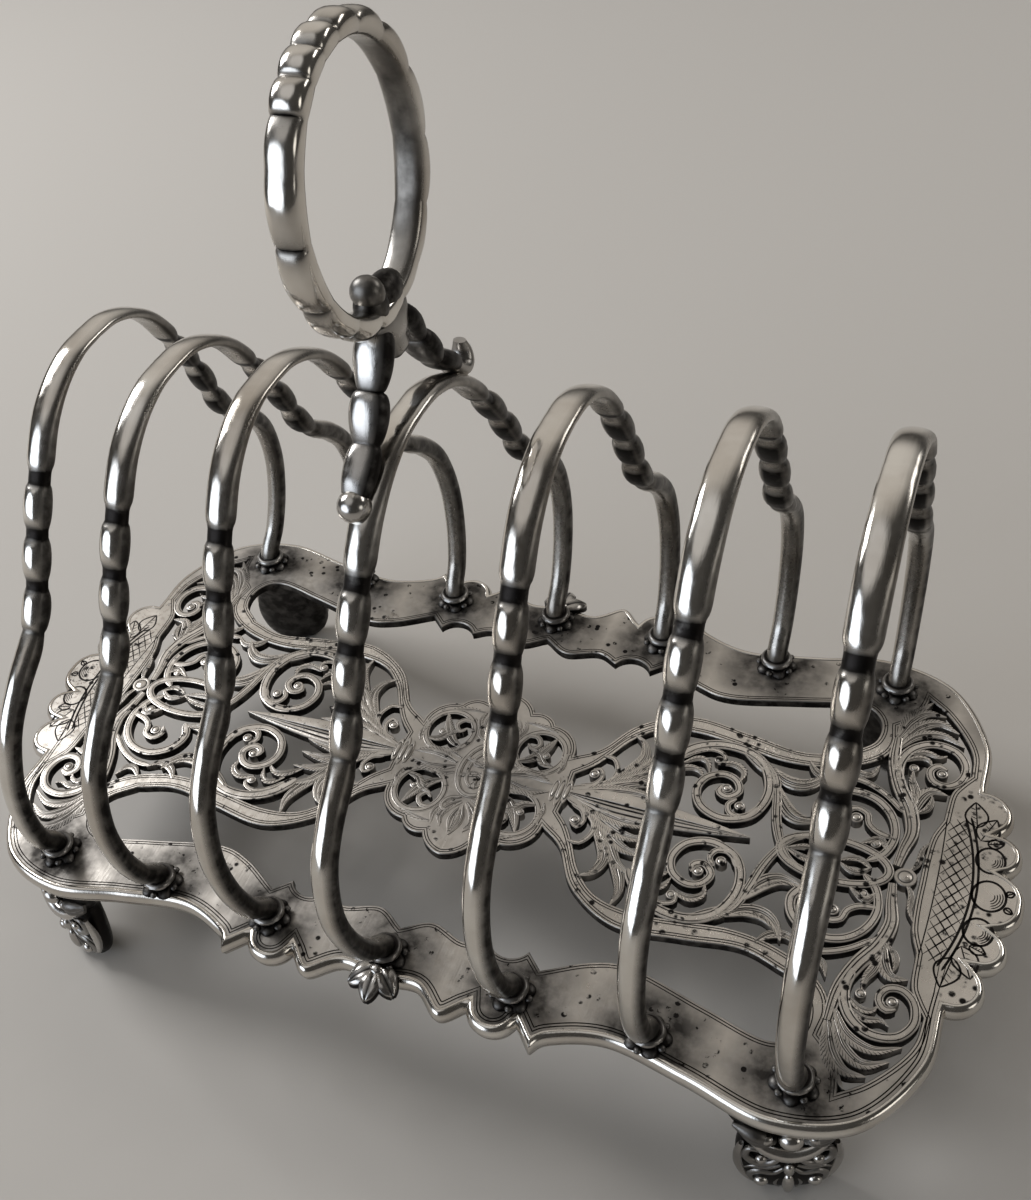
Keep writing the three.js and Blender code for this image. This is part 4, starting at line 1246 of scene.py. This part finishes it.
def make_palmette(side_name):
    """Domed leaves with a groove down their middle and dark edges, and a bead at their root."""
    node = f"palmette_{side_name}"
    side = SIDES[side_name]
    root = min(abs(corner.y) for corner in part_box(node))
    form = Form()
    across = np.linspace(-1, 1, LOBE_CORNERS)
    dark = np.clip(np.exp(-(across / 0.2) ** 2) + np.abs(across) ** 6, 0, 1)
    t = np.linspace(0, 1, LOBE_STATIONS)
    opening = 0.4 + 0.6 * np.sin(math.pi / 2 * np.clip(t / LOBE_CLOSES, 0, 1))
    closing = np.sqrt(np.clip(1 - (np.clip(t - LOBE_CLOSES, 0, 1) / 0.41) ** 2, 0.03, 1))
    crown = 0.75 * np.sin(math.pi * np.clip(0.1 + 0.8 * t, 0, 1)) - 1.1 * t**3
    for turn, length, wide in PALMETTE_LOBES:
        top = []
        for reach, half, lift in zip(t * length, wide * opening * closing, crown):
            plan = turned(np.column_stack([half * across, reach - 0.25 * half * across**2]), (0, 0), -turn)
            out = side * (plan[:, 1] + root / MM - 0.4)
            dome = lift + 0.35 * (1 - across**2) - 0.3 * np.exp(-(across / 0.16) ** 2)
            top.append(np.column_stack([plan[:, 0], out, dome + PLATE_TOP / MM + 0.35]))
        top = np.array(top)
        below = top[:, ::-1] - (0, 0, LOBE_THICKNESS)
        stains = np.tile(np.concatenate([dark, np.ones(LOBE_CORNERS)]), (LOBE_STATIONS, 1))
        form.loft(np.concatenate([top, below], axis=1) * MM, stains)
    blob(form, (0, side * (root + 0.2 * MM), PLATE_TOP + 0.7 * MM), (1.3, 1.1, 0.9), 0.0)
    piece(f"edge_{node}", form, CAST, [node], sharp=1.0)


# ---- The rack ----
make_rim(make_plate())
for bar_number in range(1, BAR_COUNT + 1):
    make_bar(bar_number)
    for collar_side in SIDES:
        make_collar(collar_side, bar_number)
for foot_side in SIDES:
    for foot_end in ENDS:
        make_foot(foot_side, foot_end)
make_ring()
make_saddle()
for leg_side in SIDES:
    make_leg(leg_side)
    make_palmette(leg_side)

# ---- Floor, light and camera ----
FLOOR_REACH = 1.5
FLOOR_DROP = 0.2 * MM
FLOOR_COLOUR = (0.52, 0.49, 0.45, 1)
# Lights are aimed at this height over the middle of the floor.
AIM_HEIGHT = 0.05
SKY_BASE = (0.06, 0.057, 0.053)
# Patches of sky for the silver to mirror: direction, outer and inner angle in degrees, colour.
SKY_PATCHES = [
    ((-0.37, 0.62, 0.69), 50, 12, (0.60, 0.57, 0.53)),
    ((-0.3, -0.3, 0.9), 30, 14, (0.62, 0.61, 0.60)),
    ((-0.6, -0.78, 0.2), 28, 20, (2.6, 2.85, 3.2)),
    ((0.95, -0.2, 0.3), 14, 9, (1.6, 1.55, 1.45)),
]
# The camera's place in pitches, its height counted from the plate, and its angles in degrees.
CAMERA_PLACE = (3.6187, -6.0385, 8.5038)
CAMERA_AZIMUTH = 30.43
CAMERA_ELEVATION = 43.66
CAMERA_ROLL = -10.37


def make_floor():
    mesh = bpy.data.meshes.new("floor")
    corners = [(x * FLOOR_REACH, y * FLOOR_REACH, 0) for x, y in ((-1, -1), (1, -1), (1, 1), (-1, 1))]
    mesh.from_pydata(corners, [], [(0, 1, 2, 3)])
    paint = bpy.data.materials.new("floor_paint")
    paint.use_nodes = True
    shader = paint.node_tree.nodes["Principled BSDF"]
    shader.inputs["Base Color"].default_value = FLOOR_COLOUR
    shader.inputs["Roughness"].default_value = 0.9
    mesh.materials.append(paint)
    floor = show("floor", mesh)
    floor.location.z = -FLOOR_DROP


def area_light(name, place, size, power, colour):
    lamp = bpy.data.lights.new(name, "AREA")
    lamp.shape = "RECTANGLE"
    lamp.size, lamp.size_y = size
    lamp.energy = power
    lamp.color = colour
    holder = show(name, lamp)
    holder.location = place
    aim = Vector((0, 0, AIM_HEIGHT)) - Vector(place)
    holder.rotation_euler = aim.to_track_quat("-Z", "Y").to_euler()


def make_sky():
    """Soft patches of bright and dark round the rack, by direction."""
    world = bpy.data.worlds.new("studio")
    bpy.context.scene.world = world
    world.use_nodes = True
    nodes = Nodes(world.node_tree)
    place = nodes.add("TexCoord").outputs["Generated"]
    shade = SKY_BASE
    for direction, outer, inner, colour in SKY_PATCHES:
        inputs = {0: place, 1: Vector(direction).normalized()}
        facing = nodes.add("VectorMath", inputs, operation="DOT_PRODUCT").outputs["Value"]
        edges = [math.cos(math.radians(angle)) for angle in (outer, inner)]
        share = nodes.ramp(facing, *edges, interpolation_type="SMOOTHSTEP")
        shade = nodes.mixed(share, shade, colour)
    nodes.feed(nodes.tree.nodes["Background"].inputs["Color"], shade)


def make_light():
    area_light("key_softbox", (-0.75, 0.12, 0.62), (0.35, 0.35), 5.5, (0.97, 0.98, 1.0))
    area_light("rim_softbox", (0.5, 0.55, 0.55), (0.4, 0.15), 1.0, (1.0, 0.97, 0.93))
    make_sky()


def make_camera():
    """Above and to the right of the long side, slightly rolled."""
    camera = bpy.data.cameras.new("camera")
    camera.sensor_width = 36.0
    camera.lens = 39.95
    camera.shift_x = 0.0467
    camera.shift_y = 0.0121
    camera.clip_start = 0.01
    azimuth, elevation, roll = map(math.radians, (CAMERA_AZIMUTH, CAMERA_ELEVATION, CAMERA_ROLL))
    level_part = math.cos(elevation)
    forward = Vector((-level_part * math.sin(azimuth), level_part * math.cos(azimuth), -math.sin(elevation)))
    level = forward.cross(Vector((0, 0, 1))).normalized()
    right = level * math.cos(roll) + level.cross(forward) * math.sin(roll)
    up = right.cross(forward)
    turned_camera = Matrix((right, up, -forward)).transposed().to_4x4()
    place = Vector(CAMERA_PLACE) * PITCH + Vector((0, 0, PLATE_TOP))
    holder = show("camera", camera)
    holder.matrix_world = Matrix.Translation(place) @ turned_camera
    bpy.context.scene.camera = holder


make_floor()
make_light()
make_camera()
bpy.context.scene.view_settings.view_transform = "Standard"
